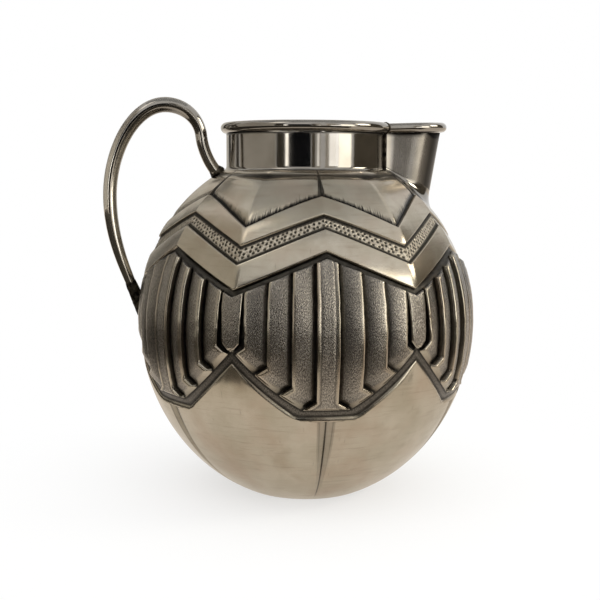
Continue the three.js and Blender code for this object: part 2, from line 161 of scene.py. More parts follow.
# Depths of the chasing
BAND_RISE = 0.4
BAND_CROWN = 0.12
DOTTED_DEPTH = 0.75
GROOVE_DEPTH = 1.2
FRAME_DEPTH = 1.1
GAP_DEPTH = 2.3
PANEL_PRESS = 0.8
BELLY_CREASE_DEPTH = 1.0
BELLY_LINE_DEPTH = 0.35
PANEL_CREASE_DEPTH = 0.8
RING_LINE_DEPTH = 0.9
RING_CREASE_DEPTH = 0.35
TIP_DEPTH = 0.75
TIP_START = 0.72
TIP_REACH = 7.0
FACET_SHARE = 0.85

# Dotted strip; the slope is the height gained per millimetre along the shoulder there
STRIP_COLUMNS = 401
STRIP_ROWS = 29
STRIP_GAP = 0.15
STRIP_RISE = 0.22
STRIP_SLOPE = 0.87

# Place of the camera; pitch, yaw and roll are in radians
CAMERA_TURN_DEGREES = 6.98
CAMERA_DISTANCE = 500.0
CAMERA_HEIGHT = 156.2
CAMERA_PITCH = 0.1274
CAMERA_YAW = -0.0057
CAMERA_ROLL = 0.0047
FOCAL_PIXELS = 1011.2
IMAGE_PIXELS = 600


def smooth(value):
    """Soft step from 0 to 1."""
    value = np.clip(value, 0.0, 1.0)
    return value * value * (3 - 2 * value)


def lerp(a, b, share):
    """Value on the way from a to b."""
    return a + (b - a) * share


def bend(start, corner, end, share):
    """Point on a round bend from start to end that points at the corner."""
    return lerp(lerp(start, corner, share), lerp(corner, end, share), share)


def round_axis(radius, azimuth, height):
    """Points at a radius, an azimuth and a height."""
    flat = np.broadcast_arrays(radius * np.cos(azimuth), radius * np.sin(azimuth), height)
    return np.stack(flat, -1)


def body_radius(height):
    """Radius of the plain body."""
    reach = np.where(height < BELLY_HEIGHT, BOWL_REACH, SHOULDER_REACH)
    return BELLY_RADIUS * np.sqrt(np.clip(1 - ((height - BELLY_HEIGHT) / reach) ** 2, 0, 1))


def shoulder_height(radius):
    """Height of the plain shoulder."""
    return BELLY_HEIGHT + SHOULDER_REACH * np.sqrt(1 - (radius / BELLY_RADIUS) ** 2)


def body_profile(height, rise):
    """Radius and height of a point on the body, moved out along the plain body's normal."""
    reach = np.where(height < BELLY_HEIGHT, BOWL_REACH, SHOULDER_REACH)
    radius = body_radius(height)
    out = radius / BELLY_RADIUS**2
    up = (height - BELLY_HEIGHT) / reach**2
    length = np.hypot(out, up)
    return radius + rise * out / length, height + rise * up / length


# Nodes and meshes


def feed(node, inputs):
    """Sets inputs of a node: each to a value, or linked to a socket or to a node's first output in use."""
    for key, value in inputs.items():
        if isinstance(value, bpy.types.Node):
            value = next(socket for socket in value.outputs if socket.enabled)
        if isinstance(value, bpy.types.NodeSocket):
            node.id_data.links.new(value, node.inputs[key])
        else:
            node.inputs[key].default_value = value


def add_node(tree, kind, inputs=None, **settings):
    """Adds a node with its settings and its inputs."""
    node = tree.nodes.new(kind)
    for name, value in settings.items():
        setattr(node, name, value)
    feed(node, inputs or {})
    return node


def new_object(name, data):
    """Object at the origin of the scene."""
    made = bpy.data.objects.new(name, data)
    bpy.context.scene.collection.objects.link(made)
    return made


def mesh_object(name, points, faces):
    """Object with a mesh of points and faces."""
    mesh = bpy.data.meshes.new(name)
    mesh.from_pydata((np.asarray(points) * MM).tolist(), [], faces)
    mesh.validate()
    return new_object(name, mesh)


def grid_faces(rows, columns, wrap=False):
    """Faces over a grid of points, wound for rows that go up and columns that go counter-clockwise."""
    faces = []
    width = columns if wrap else columns - 1
    for r in range(rows - 1):
        low = r * columns
        high = low + columns
        for c in range(width):
            right = (c + 1) % columns
            faces.append((low + c, low + right, high + right, high + c))
    return faces


def outward(piece):
    """Turns a closed mesh right side out."""
    volume = 0.0
    mesh = piece.data
    mesh.calc_loop_triangles()
    for triangle in mesh.loop_triangles:
        a, b, c = [mesh.vertices[k].co for k in triangle.vertices]
        volume += a.dot(b.cross(c))
    if volume < 0:
        mesh.flip_normals()


def loop_object(name, loops):
    """Closed skin over a row of closed loops, with flat ends."""
    count = len(loops[0])
    faces = grid_faces(len(loops), count, wrap=True)
    last = (len(loops) - 1) * count
    faces.append(tuple(reversed(range(count))))
    faces.append(tuple(range(last, last + count)))
    made = mesh_object(name, np.concatenate(loops), faces)
    outward(made)
    return made


def point_vectors(piece, name):
    """Places or normals of the points of a piece, one row for each."""
    found = np.zeros(3 * len(piece.data.vertices))
    piece.data.vertices.foreach_get(name, found)
    return found.reshape(-1, 3)


def store(piece, name, values):
    """Stores a value for every point of a piece."""
    attribute = piece.data.attributes.new(name, "FLOAT", "POINT")
    attribute.data.foreach_set("value", np.ravel(values))


def darken(piece, around, along=1.0):
    """Oxide and painted shade on a piece made of equal loops: its amount round a loop and along the loops.
    """
    count = len(piece.data.vertices) // len(around)
    store(piece, "oxide_and_painted_shade", np.outer(np.broadcast_to(along, count), around))


def evaluated_mesh(piece):
    """Plain mesh of a piece with its modifiers."""
    return bpy.data.meshes.new_from_object(piece.evaluated_get(bpy.context.evaluated_depsgraph_get()))


def nodes_tree(name, sizes):
    """Empty Geometry Nodes tree with named inputs; gives the tree, its inputs and its output node."""
    tree = bpy.data.node_groups.new(name, "GeometryNodeTree")
    tree.interface.new_socket("Geometry", in_out="INPUT", socket_type="NodeSocketGeometry")
    for label, kind in sizes.items():
        tree.interface.new_socket(label, in_out="INPUT", socket_type="NodeSocket" + kind)
    tree.interface.new_socket("Geometry", in_out="OUTPUT", socket_type="NodeSocketGeometry")
    return tree, add_node(tree, "NodeGroupInput").outputs, add_node(tree, "NodeGroupOutput")


def apply_tree(piece, tree, values):
    """Runs a tree on a piece and keeps the result as a plain mesh."""
    modifier = piece.modifiers.new("shape", "NODES")
    modifier.node_group = tree
    for item in tree.interface.items_tree:
        if item.in_out == "INPUT" and item.name in values:
            modifier[item.identifier] = values[item.name]
    mesh = evaluated_mesh(piece)
    mesh.name = piece.name
    if piece.type == "MESH":
        piece.modifiers.clear()
        piece.data = mesh
        return piece
    name = piece.name
    bpy.data.objects.remove(piece)
    return new_object(name, mesh)


def ring_tree():
    """Repeats a sector round the axis, welds the copies and leaves the hand-cut parts slightly uneven."""
    tree, given, result = nodes_tree("ring_of_repeats", {
        "Count": "Int", "Weld": "Float", "Uneven": "Float", "Uneven Size": "Float", "Material": "Material"})
    line = add_node(tree, "GeometryNodeMeshLine", {"Count": given["Count"], "Offset": (0, 0, 0)})
    index = add_node(tree, "GeometryNodeInputIndex")
    turn = add_node(tree, "ShaderNodeMath", {0: math.tau, 1: given["Count"]}, operation="DIVIDE")
    angle = add_node(tree, "ShaderNodeMath", {0: index, 1: turn}, operation="MULTIPLY")
    spin = add_node(tree, "ShaderNodeCombineXYZ", {"Z": angle})
    copies = add_node(tree, "GeometryNodeInstanceOnPoints", {
        "Points": line, "Instance": given["Geometry"], "Rotation": spin})
    real = add_node(tree, "GeometryNodeRealizeInstances", {"Geometry": copies})
    whole = add_node(tree, "GeometryNodeMergeByDistance", {"Geometry": real, "Distance": given["Weld"]})
    grain = add_node(tree, "ShaderNodeMath", {0: 1.0, 1: given["Uneven Size"]}, operation="DIVIDE")
    noise = add_node(tree, "ShaderNodeTexNoise", {"Scale": grain, "Detail": 1.0})
    level = add_node(tree, "ShaderNodeVectorMath", {0: noise.outputs["Color"], 1: (0.5, 0.5, 0.5)},
                     operation="SUBTRACT")
    hand = add_node(tree, "GeometryNodeInputNamedAttribute", {"Name": "hand"})
    amount = add_node(tree, "ShaderNodeMath", {0: hand, 1: given["Uneven"]}, operation="MULTIPLY")
    drift = add_node(tree, "ShaderNodeVectorMath", {0: level, "Scale": amount}, operation="SCALE")
    handmade = add_node(tree, "GeometryNodeSetPosition", {"Geometry": whole, "Offset": drift})
    painted = add_node(tree, "GeometryNodeSetMaterial", {
        "Geometry": handmade, "Material": given["Material"]})
    feed(result, {"Geometry": painted})
    return tree


def rod_tree():
    """Round rod along a curve, as thick as the curve's radius, widened across Y and hammered a little."""
    tree, given, result = nodes_tree("forged_rod", {
        "Steps": "Int", "Corners": "Int", "Widen": "Float", "Lumps": "Float", "Lump Size": "Float",
        "Material": "Material"})
    path = add_node(tree, "GeometryNodeResampleCurve", {
        "Curve": given["Geometry"], "Count": given["Steps"]})
    section = add_node(tree, "GeometryNodeCurvePrimitiveCircle", {
        "Resolution": given["Corners"], "Radius": 1.0})
    thickness = add_node(tree, "GeometryNodeInputRadius")
    rod = add_node(tree, "GeometryNodeCurveToMesh", {
        "Curve": path, "Profile Curve": section, "Scale": thickness, "Fill Caps": True})
    place = add_node(tree, "GeometryNodeInputPosition")
    stretch = add_node(tree, "ShaderNodeCombineXYZ", {"X": 1.0, "Y": given["Widen"], "Z": 1.0})
    wide = add_node(tree, "ShaderNodeVectorMath", {0: place, 1: stretch}, operation="MULTIPLY")
    widened = add_node(tree, "GeometryNodeSetPosition", {"Geometry": rod, "Position": wide})
    grain = add_node(tree, "ShaderNodeMath", {0: 1.0, 1: given["Lump Size"]}, operation="DIVIDE")
    noise = add_node(tree, "ShaderNodeTexNoise", {"Scale": grain, "Detail": 2.0})
    level = add_node(tree, "ShaderNodeMath", {0: noise, 1: 0.5}, operation="SUBTRACT")
    height = add_node(tree, "ShaderNodeMath", {0: level, 1: given["Lumps"]}, operation="MULTIPLY")
    normal = add_node(tree, "GeometryNodeInputNormal")
    push = add_node(tree, "ShaderNodeVectorMath", {0: normal, "Scale": height}, operation="SCALE")
    hammered = add_node(tree, "GeometryNodeSetPosition", {"Geometry": widened, "Offset": push})
    real = add_node(tree, "GeometryNodeRealizeInstances", {"Geometry": hammered})
    painted = add_node(tree, "GeometryNodeSetMaterial", {"Geometry": real, "Material": given["Material"]})
    feed(result, {"Geometry": painted})
    return tree


def punched_tree():
    """Staggered rows of round punch marks on a strip, which is then repeated round the axis and welded."""
    tree, given, result = nodes_tree("punched_ground", {
        "Spacing": "Float", "Row": "Float", "Radius": "Float", "Depth": "Float", "Jitter": "Float",
        "Seed": "Int", "Count": "Int", "Weld": "Float", "Material": "Material"})
    along, across, face = [add_node(tree, "GeometryNodeInputNamedAttribute", {"Name": name})
                           for name in ("along", "across", "face")]

    # cells of the marks, every second row shifted by half a spacing
    row_at = add_node(tree, "ShaderNodeMath", {0: across, 1: given["Row"]}, operation="DIVIDE")
    row = add_node(tree, "ShaderNodeMath", {0: row_at}, operation="FLOOR")
    odd = add_node(tree, "ShaderNodeMath", {0: row, 1: 2.0}, operation="FLOORED_MODULO")
    mark_at = add_node(tree, "ShaderNodeMath", {0: along, 1: given["Spacing"]}, operation="DIVIDE")
    shifted = add_node(tree, "ShaderNodeMath", {0: odd, 1: 0.5, 2: mark_at}, operation="MULTIPLY_ADD")
    spot = add_node(tree, "ShaderNodeCombineXYZ", {"X": shifted, "Y": row_at})
    cell = add_node(tree, "ShaderNodeVectorMath", {0: spot}, operation="FLOOR")
    within = add_node(tree, "ShaderNodeVectorMath", {0: spot}, operation="FRACTION")
    centred = add_node(tree, "ShaderNodeVectorMath", {0: within, 1: (0.5, 0.5, 0)}, operation="SUBTRACT")
    cell_size = add_node(tree, "ShaderNodeCombineXYZ", {"X": given["Spacing"], "Y": given["Row"]})
    away = add_node(tree, "ShaderNodeVectorMath", {0: centred, 1: cell_size}, operation="MULTIPLY")

    # each mark strays from the middle of its cell, which has its own number
    number = add_node(tree, "ShaderNodeVectorMath", {0: cell, 1: (1, 997, 0)}, operation="DOT_PRODUCT")
    stray = add_node(tree, "FunctionNodeRandomValue", {
        "Min": (-1, -1, 0), "Max": (1, 1, 0), "ID": number, "Seed": given["Seed"]},
        data_type="FLOAT_VECTOR")
    drift = add_node(tree, "ShaderNodeVectorMath", {0: stray, "Scale": given["Jitter"]}, operation="SCALE")
    apart = add_node(tree, "ShaderNodeVectorMath", {0: away, 1: drift}, operation="DISTANCE")
    bottom = add_node(tree, "ShaderNodeMath", {0: given["Radius"], 1: 0.75}, operation="MULTIPLY")
    dent = add_node(tree, "ShaderNodeMapRange", {
        "Value": apart, "From Min": given["Radius"], "From Max": bottom}, interpolation_type="SMOOTHSTEP")
    mark = add_node(tree, "ShaderNodeMath", {0: dent, 1: face}, operation="MULTIPLY")
    kept = add_node(tree, "GeometryNodeStoreNamedAttribute", {
        "Geometry": given["Geometry"], "Name": "dot", "Value": mark}, data_type="FLOAT", domain="POINT")
    depth = add_node(tree, "ShaderNodeMath", {0: mark, 1: given["Depth"]}, operation="MULTIPLY")
    sink = add_node(tree, "ShaderNodeMath", {0: depth, 1: -1.0}, operation="MULTIPLY")
    normal = add_node(tree, "GeometryNodeInputNormal")
    push = add_node(tree, "ShaderNodeVectorMath", {0: normal, "Scale": sink}, operation="SCALE")
    punched = add_node(tree, "GeometryNodeSetPosition", {"Geometry": kept, "Offset": push})
    ring = add_node(tree, "GeometryNodeGroup", node_tree=ring_of_repeats)
    feed(ring, {"Geometry": punched, "Count": given["Count"], "Weld": given["Weld"], "Uneven Size": 1.0,
                "Material": given["Material"]})
    real = add_node(tree, "GeometryNodeRealizeInstances", {"Geometry": ring})
    painted = add_node(tree, "GeometryNodeSetMaterial", {"Geometry": real, "Material": given["Material"]})
    feed(result, {"Geometry": painted})
    return tree


ring_of_repeats = ring_tree()
forged_rod = rod_tree()
punched_ground = punched_tree()


# Finishes

# Sockets of the two colours of a Mix node
FIRST, SECOND = 6, 7


def linear(colour):
    """Linear colour of an sRGB hex value."""
    parts = [int(colour[k:k + 2], 16) / 255 for k in (1, 3, 5)]
    return [p / 12.92 if p <= 0.04045 else ((p + 0.055) / 1.055) ** 2.4 for p in parts] + [1.0]


def per_metre(size):
    """Texture scale for a pattern of a size."""
    return 1 / (size * MM)


def metal(name):
    """New metal: the material, its tree, shader and Object coordinates."""
    material = bpy.data.materials.new(name)
    material.use_nodes = True
    tree = material.node_tree
    shader = tree.nodes["Principled BSDF"]
    shader.inputs["Metallic"].default_value = 1.0
    place = add_node(tree, "ShaderNodeTexCoord").outputs["Object"]
    return material, tree, shader, place


def patches(tree, place, size, detail, span, values=(0.0, 1.0), fineness=0.5):
    """Soft patches of a size: a span of their noise is spread over a range of values."""
    noise = add_node(tree, "ShaderNodeTexNoise", {
        "Vector": place, "Scale": per_metre(size), "Detail": detail, "Roughness": fineness})
    return add_node(tree, "ShaderNodeMapRange", {
        "Value": noise, "From Min": span[0], "From Max": span[1], "To Min": values[0], "To Max": values[1]})


def polished_silver():
    """Silver sheet and wire, hand polished: clear reflections, warm grey, with faint clouds of tarnish and
    fine wear scratches that soften the gloss, lighter where a painted sheen is laid on, and darkened down
    to black by oxide, painted shade and painted dark reflections stored on the pieces."""
    material, tree, shader, place = metal("polished_silver")
    painted_sheen, oxide_and_painted_shade = [add_node(tree, "ShaderNodeAttribute", attribute_name=name).outputs["Fac"]
                   for name in ("painted_sheen", "oxide_and_painted_shade")]
    darker_tone = patches(tree, place, 14, 3, (0.35, 0.7))
    colour = linear("#9a958e")
    # darker tone for tarnish, a painted sheen that lightens, and oxide with painted shade that darkens
    for share, coat in ((darker_tone, "#89847c"), (painted_sheen, "#c4beb3"), (oxide_and_painted_shade, "#0d0c0b")):
        colour = add_node(tree, "ShaderNodeMix", {"Factor": share, FIRST: colour, SECOND: linear(coat)},
                          data_type="RGBA")
    scratched = add_node(tree, "ShaderNodeMapping", {
        "Vector": place, "Rotation": (0.3, 0.2, 0.5), "Scale": (1.0, 1.0, 0.12)})
    scratches = patches(tree, scratched, 2.0, 3, (0.3, 0.75), (0.07, 0.13))
    gloss = add_node(tree, "ShaderNodeMath", {0: oxide_and_painted_shade, 1: 0.35, 2: scratches}, operation="MULTIPLY_ADD")
    wave = add_node(tree, "ShaderNodeTexNoise", {"Vector": place, "Scale": per_metre(9), "Detail": 1.0})
    planished = add_node(tree, "ShaderNodeBump", {"Strength": 0.2, "Distance": 0.05 * MM, "Height": wave})
    feed(shader, {"Base Color": colour, "Roughness": gloss, "Normal": planished})
    return material


def silver_solder():
    """Hard solder, hardly polished: dull and darker than the silver, with pits and dark tarnish."""
    material, tree, shader, place = metal("silver_solder")
    pits = add_node(tree, "ShaderNodeTexNoise", {"Vector": place, "Scale": per_metre(2.2), "Detail": 4.0})
    darker_tone = add_node(tree, "ShaderNodeMapRange", {"Value": pits, "From Min": 0.38, "From Max": 0.62})
    colour = add_node(tree, "ShaderNodeMix", {
        "Factor": darker_tone, FIRST: linear("#4f493f"), SECOND: linear("#141211")}, data_type="RGBA")
    gloss = add_node(tree, "ShaderNodeMapRange", {"Value": pits, "To Min": 0.25, "To Max": 0.5})
    pitted = add_node(tree, "ShaderNodeBump", {"Strength": 0.6, "Distance": 0.12 * MM, "Height": pits})
    feed(shader, {"Base Color": colour, "Roughness": gloss, "Normal": pitted})
    return material


def chased_silver():
    """Raised silver sheet, chased from outside: polished bands and belly, flutes matted with a fine punch,
    and recesses left nearly black with oxide, with painted shade added in the recesses, creases and on the
    pleats' faces. The attributes of the body say where each finish lies."""
    material, tree, shader, place = metal("chased_silver")
    oxide_and_painted_shade, matte, stroke = [add_node(tree, "ShaderNodeAttribute", attribute_name=name).outputs["Fac"]
                            for name in ("oxide_and_painted_shade", "matte", "stroke")]
    unrolled = add_node(tree, "ShaderNodeUVMap", uv_map="unrolled")

    # tarnish, brown and rosy stains, and the level marks of wiping
    darker_tone = patches(tree, place, 16, 4, (0.35, 0.7))
    stain = patches(tree, place, 13, 4, (0.54, 0.74), (0.0, 0.3))
    rosy = patches(tree, place, 24, 3, (0.46, 0.66), (0.0, 0.5))
    level = add_node(tree, "ShaderNodeMapping", {"Vector": place, "Scale": (0.07, 0.07, 1.0)})
    wiped = patches(tree, level, 1.1, 4, (0.54, 0.78), (0.0, 0.34), fineness=0.6)

    # punch marks of the matting, short and slanted
    slanted = add_node(tree, "ShaderNodeMapping", {
        "Vector": unrolled, "Rotation": (0, 0, math.radians(-35)), "Scale": (1.0, 0.5, 1.0)})
    pits = patches(tree, slanted, 0.42, 2, (0.33, 0.69), fineness=0.6)
    matted = add_node(tree, "ShaderNodeMix", {
        "Factor": pits, FIRST: linear("#57534d"), SECOND: linear("#aaa399")}, data_type="RGBA")

    # short upright tool strokes above the bands
    upright = add_node(tree, "ShaderNodeMapping", {"Vector": unrolled, "Scale": (1.0, 0.1, 1.0)})
    tool = add_node(tree, "ShaderNodeTexNoise", {
        "Vector": upright, "Scale": per_metre(0.62), "Detail": 1.0})
    reach = add_node(tree, "ShaderNodeMath", {0: stroke, 1: 0.6, 2: tool}, operation="MULTIPLY_ADD")
    struck = add_node(tree, "ShaderNodeMapRange", {
        "Value": reach, "From Min": 0.72, "From Max": 1.0, "To Max": 0.95})

    # oxide and painted shade, a little uneven, over all of it
    dirt = patches(tree, place, 3, 4, (0.2, 0.7), (0.88, 1.0))
    dark = add_node(tree, "ShaderNodeMath", {0: oxide_and_painted_shade, 1: dirt}, operation="MULTIPLY", use_clamp=True)
    colour = linear("#b4ac9d")
    coats = [(darker_tone, linear("#a69e8d")), (stain, linear("#83715a")), (rosy, linear("#a79583")),
             (wiped, linear("#7d6a5a")), (matte, matted), (struck, linear("#101114")),
             (dark, linear("#090a0c"))]
    for share, coat in coats:
        colour = add_node(tree, "ShaderNodeMix", {"Factor": share, FIRST: colour, SECOND: coat},
                          data_type="RGBA")

    gloss = patches(tree, place, 16, 4, (0.0, 1.0), (0.16, 0.3))
    for share, least in ((matte, 0.27), (dark, 0.5)):
        dull = add_node(tree, "ShaderNodeMath", {0: share, 1: least}, operation="MULTIPLY")
        gloss = add_node(tree, "ShaderNodeMath", {0: gloss, 1: dull}, operation="MAXIMUM")

    wave = add_node(tree, "ShaderNodeTexNoise", {"Vector": place, "Scale": per_metre(11), "Detail": 2.0})
    planished = add_node(tree, "ShaderNodeBump", {"Strength": 0.5, "Distance": 0.2 * MM, "Height": wave})
    matting = add_node(tree, "ShaderNodeMath", {0: matte, 1: 0.4}, operation="MULTIPLY", use_clamp=True)
    punched = add_node(tree, "ShaderNodeBump", {
        "Strength": matting, "Distance": 0.2 * MM, "Height": pits, "Normal": planished})
    cutting = add_node(tree, "ShaderNodeMath", {0: stroke, 1: 0.8}, operation="MULTIPLY", use_clamp=True)
    cut = add_node(tree, "ShaderNodeBump", {
        "Strength": cutting, "Distance": 0.25 * MM, "Height": tool, "Normal": punched})
    feed(shader, {"Base Color": colour, "Roughness": gloss, "Normal": cut})
    return material


def dotted_silver():
    """Sunk ground of the dotted band: pale punched silver, with black oxide left in every mark, and oxide
    with painted shade along both edges."""
    material, tree, shader, place = metal("dotted_silver")
    dot, edge = [add_node(tree, "ShaderNodeAttribute", attribute_name=name).outputs["Fac"]
                 for name in ("dot", "edge")]
    grain = add_node(tree, "ShaderNodeTexNoise", {"Vector": place, "Scale": per_metre(0.8), "Detail": 3.0})
    rubbed = add_node(tree, "ShaderNodeMapRange", {"Value": grain, "From Min": 0.4, "From Max": 0.62})
    dark = add_node(tree, "ShaderNodeMath", {0: dot, 1: edge}, operation="MAXIMUM")
    colour = linear("#978e80")
    for share, coat in ((rubbed, "#c4bbab"), (dark, "#090a0c")):
        colour = add_node(tree, "ShaderNodeMix", {"Factor": share, FIRST: colour, SECOND: linear(coat)},
                          data_type="RGBA")
    gloss = add_node(tree, "ShaderNodeMapRange", {"Value": dark, "To Min": 0.34, "To Max": 0.6})
    rough = add_node(tree, "ShaderNodeBump", {"Strength": 0.6, "Distance": 0.15 * MM, "Height": grain})
    feed(shader, {"Base Color": colour, "Roughness": gloss, "Normal": rough})
    return material


POLISHED = polished_silver()
SOLDER = silver_solder()
CHASED = chased_silver()
DOTTED = dotted_silver()


def finish(piece, crease_degrees, material, slot, *nodes):
    """Shades a piece smoothly up to its creases, gives it its material, and has it stand for its nodes on
    the fixed body; its slot is not used."""
    piece.data.shade_smooth()
    piece.data.set_sharp_from_angle(angle=math.radians(crease_degrees))
    piece.data.materials.clear()
    piece.data.materials.append(material)
    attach(piece, "root")
    if nodes:
        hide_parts(*nodes)


# Edges of the chased pattern


def zigzag(drop, bow):
    """Height of a zigzag edge; share is 0 at a peak and 1 in a dip, and its sides are bowed up a little."""
    return lambda share: SEAT_HEIGHT - lerp(drop[0], drop[1], share) + 4 * bow * share * (1 - share)


def lobed(rise, level):
    """Height of a lobed edge, level under the middle of a lobe and sagging on its slopes."""
    lobe, dip, sag = rise
    start = level / HALF_PITCHES

    def edge(share):
        climb = np.clip((share - start) / (1 - start), 0, 1)
        return BELLY_HEIGHT + lerp(lobe, dip, climb) - sag * np.sin(np.pi * climb)
    return edge


def below(edge, belt):
    """Drops of the edge under a belt."""
    return (edge[0] + belt[0], edge[1] + belt[1])


UPPER_EDGE = below(PANEL_EDGE, UPPER_BAND)
DOTTED_EDGE = below(UPPER_EDGE, DOTTED_BAND)
LOWER_EDGE = below(DOTTED_EDGE, LOWER_BAND)
FLUTE_TOP = below(LOWER_EDGE, (GROOVE, GROOVE))
panel_edge = zigzag(PANEL_EDGE, 1.3)
upper_edge = zigzag(UPPER_EDGE, 0.7)
dotted_edge = zigzag(DOTTED_EDGE, 0.6)
lower_edge = zigzag(LOWER_EDGE, 0.2)
flute_top = zigzag(FLUTE_TOP, 0.2)
flute_end = lobed(FLUTE_END, 0.5 + FOOT_KICK)
frame_edge = lobed(FRAME_EDGE, 0.5 + FOOT_KICK + FRAME_CORNER / PITCH)


# Columns of the chased skin


def flute_columns(slot_half):
    """Columns from a lobe's middle to the dip: place in pitches, relief, oxide with painted shade, and
    matting of the flutes.

    Each pleat climbs to its outer edge, which is polished, and drops into a dark gap of oxide; painted
    shade darkens its face towards the gap. The middle flute has a rib along both edges, and the short flute
    in the dip has an open slot on each side.
    """
    middle = [(0.0, 0.3, 0, 1), (0.02, 0.3, 0, 1), (0.06, 0.31, 0, 1), (0.15, 0.34, 0, 1),
              (0.25, 0.36, 0, 1), (0.28, 0.14, 0.6, 0.8), (0.33, 0.38, 0.2, 0.7), (0.37, 0.56, 0, 0.3),
              (0.41, 0.64, 0, 0), (MIDDLE_EDGE, 0.54, 0, 0)]
    # the gap holds oxide; each face carries painted shade, darkest next to the gap
    gap = [(-0.035, -0.2, 0.45, 0), (-0.015, -GAP_DEPTH, 1, 0)]
    face = [(0.04, 0.05 - GAP_DEPTH, 0.97, 0), (0.11, -1.5, 0.66, 0.8), (0.23, -0.85, 0.48, 1),
            (0.4, -0.25, 0.3, 1), (0.6, 0.24, 0.1, 1), (0.78, 0.53, 0, 0.9), (0.865, 0.68, 0, 0.2),
            (0.937, 0.55, 0, 0)]
    short = [(0, 0.3, 0.1, 0.2), (0.15, 0.44, 0, 0.9), (0.5, 0.48, 0, 1), (1, 0.48, 0, 1)]
    columns = list(middle)
    for start in (0.5, 1.5):
        columns += [(start + at, *rest) for at, *rest in gap + face]
    # the third pleat ends at the slot, and the short flute starts behind it
    start = SLOT_PLACE - 1
    reach = (1 - slot_half) / face[-1][0]
    columns += [(start + at, *rest) for at, *rest in gap]
    columns += [(start + at * reach, *rest) for at, *rest in face]
    left = SLOT_PLACE - slot_half
    right = SLOT_PLACE + slot_half
    side = min(0.03, slot_half * 0.6)
    columns += [(left + side * 0.5, -0.1, 0.85, 0), (left + side, -GAP_DEPTH, 1, 0),
                (right - side, -GAP_DEPTH, 1, 0), (right - side * 0.5, -0.2, 0.85, 0)]
    columns += [(lerp(right, HALF_PITCHES, at), *rest) for at, *rest in short]
    return [np.array(values) for values in zip(*columns)]


FOOT_PLACES = flute_columns(SLOT_FOOT / PITCH)[0]
BAND_PLACES = flute_columns(SLOT_TOP / PITCH)[0]
BAND_SHARES = BAND_PLACES / HALF_PITCHES
IN_CREASE = np.clip(1 - FOOT_PLACES / CREASE_EDGE, 0, 1)


def kicked(at):
    """Places at the flutes' feet, where every gap turns outwards."""
    last = HALF_PITCHES - 1
    middle = at * (1 + FOOT_KICK / MIDDLE_EDGE)
    side = at + FOOT_KICK
    dip = last + FOOT_KICK + (1 - FOOT_KICK) * (1 - (HALF_PITCHES - np.clip(at, last, HALF_PITCHES)) ** 2)
    return np.where(at <= MIDDLE_EDGE, middle, np.where(at <= last, side, dip))


def gathered(at, half_width, height):
    """Places with the columns next to a lobe's middle drawn in, so that a crease has its width there."""
    inner = half_width / (body_radius(height) * PITCH_ANGLE)
    drawn = at * inner / CREASE_EDGE
    spread = inner + (at - CREASE_EDGE) * (CREASE_SPREAD - inner) / (CREASE_SPREAD - CREASE_EDGE)
    return np.where(at <= CREASE_EDGE, drawn, np.where(at < CREASE_SPREAD, spread, at))


def facets(share, height):
    """Flattening of the bands and panels between peak and dip, as if the body had twelve sides there."""
    turn = math.pi / (2 * REPEATS)
    return FACET_SHARE * body_radius(height) * (math.cos(turn) / np.cos(turn * (2 * share - 1)) - 1)


def soft_tip(share):
    """Depth of the soft tip of the belly under each dip."""
    return TIP_DEPTH * smooth((share - TIP_START) / (1 - TIP_START))


# Rows of the chased skin, from the base up to the seat of the neck


def whole_row(*values):
    """Values of a row of points, each spread over all the columns."""
    return [np.broadcast_to(np.asarray(value, float), BAND_PLACES.shape) for value in values]


class Skin:
    """Rows of the chased skin over half a repeat."""

    def __init__(self):
        self.rows = []

    def add(self, place, height, rise, oxide_and_painted_shade=0.0, matte=0.0, stroke=0.0, hand=0.0, flat=0.0):
        self.rows.append(whole_row(place, height, rise, oxide_and_painted_shade, matte, stroke, hand, flat))


def belly_rows(skin):
    """Lower belly, with a crease under each lobe and a soft tip under each dip."""
    line = np.clip(1 - FOOT_PLACES / CREASE_LINE, 0, 1) ** 0.6
    inside = 0.3 * (FOOT_PLACES < CREASE_INSIDE)
    edge = 0.3 * (np.abs(FOOT_PLACES - CREASE_EDGE) < 0.04)
    for step in np.concatenate([[0.0, 0.012, 0.03], np.linspace(0.06, 0.94, 20), [0.97, 0.985]]):
        share = FOOT_PLACES / HALF_PITCHES
        height = step * frame_edge(share)
        for _ in range(3):
            place = gathered(FOOT_PLACES, lerp(*BELLY_CREASE, step), height)
            share = place / HALF_PITCHES
            height = step * frame_edge(share)
        depth = smooth(step * 1.5)
        tip = soft_tip(share) * (1 - smooth((frame_edge(share) - height) / TIP_REACH))
        rise = -depth * (BELLY_CREASE_DEPTH * IN_CREASE + BELLY_LINE_DEPTH * line) - tip
        # oxide in the chased line at the crease's middle, and painted shade over the crease and along its
        # edges
        shade = depth * (inside + edge * smooth(step * 2 - 0.7))
        skin.add(place, height, rise, np.maximum(0.97 * line * smooth(step * 6), shade))


def frame_rows(skin):
    """Sunk frame round the feet of the flutes: a bevelled edge, and a matted floor between dark corners."""
    place = kicked(FOOT_PLACES)
    share = place / HALF_PITCHES
    outer = frame_edge(share)
    inner = flute_end(share) - FLUTE_CLEAR
    bevel = [(-0.3, 0.0, 0.0, 0), (0.0, 0.08, 0.05, 0), (0.5, 0.3, 0.25, 0), (1.1, 0.55, 0.3, 0),
             (1.4, 0.95, 0.85, 0), (FRAME_BEVEL, 1.0, 0.97, 0.35)]
    for offset, depth, oxide_and_painted_shade, matte in bevel:
        skin.add(place, outer + offset, -lerp(soft_tip(share), FRAME_DEPTH, depth), oxide_and_painted_shade, matte)
    # oxide and painted shade on the sunk floor, darkest in its corners
    for step, oxide_and_painted_shade in [(0.15, 0.85), (0.35, 0.6), (0.7, 0.62), (0.88, 0.9)]:
        skin.add(place, lerp(outer + FRAME_BEVEL, inner, step), -FRAME_DEPTH, oxide_and_painted_shade, 1.0)
    skin.add(place, inner, -FRAME_DEPTH, 0.98, 0.3)


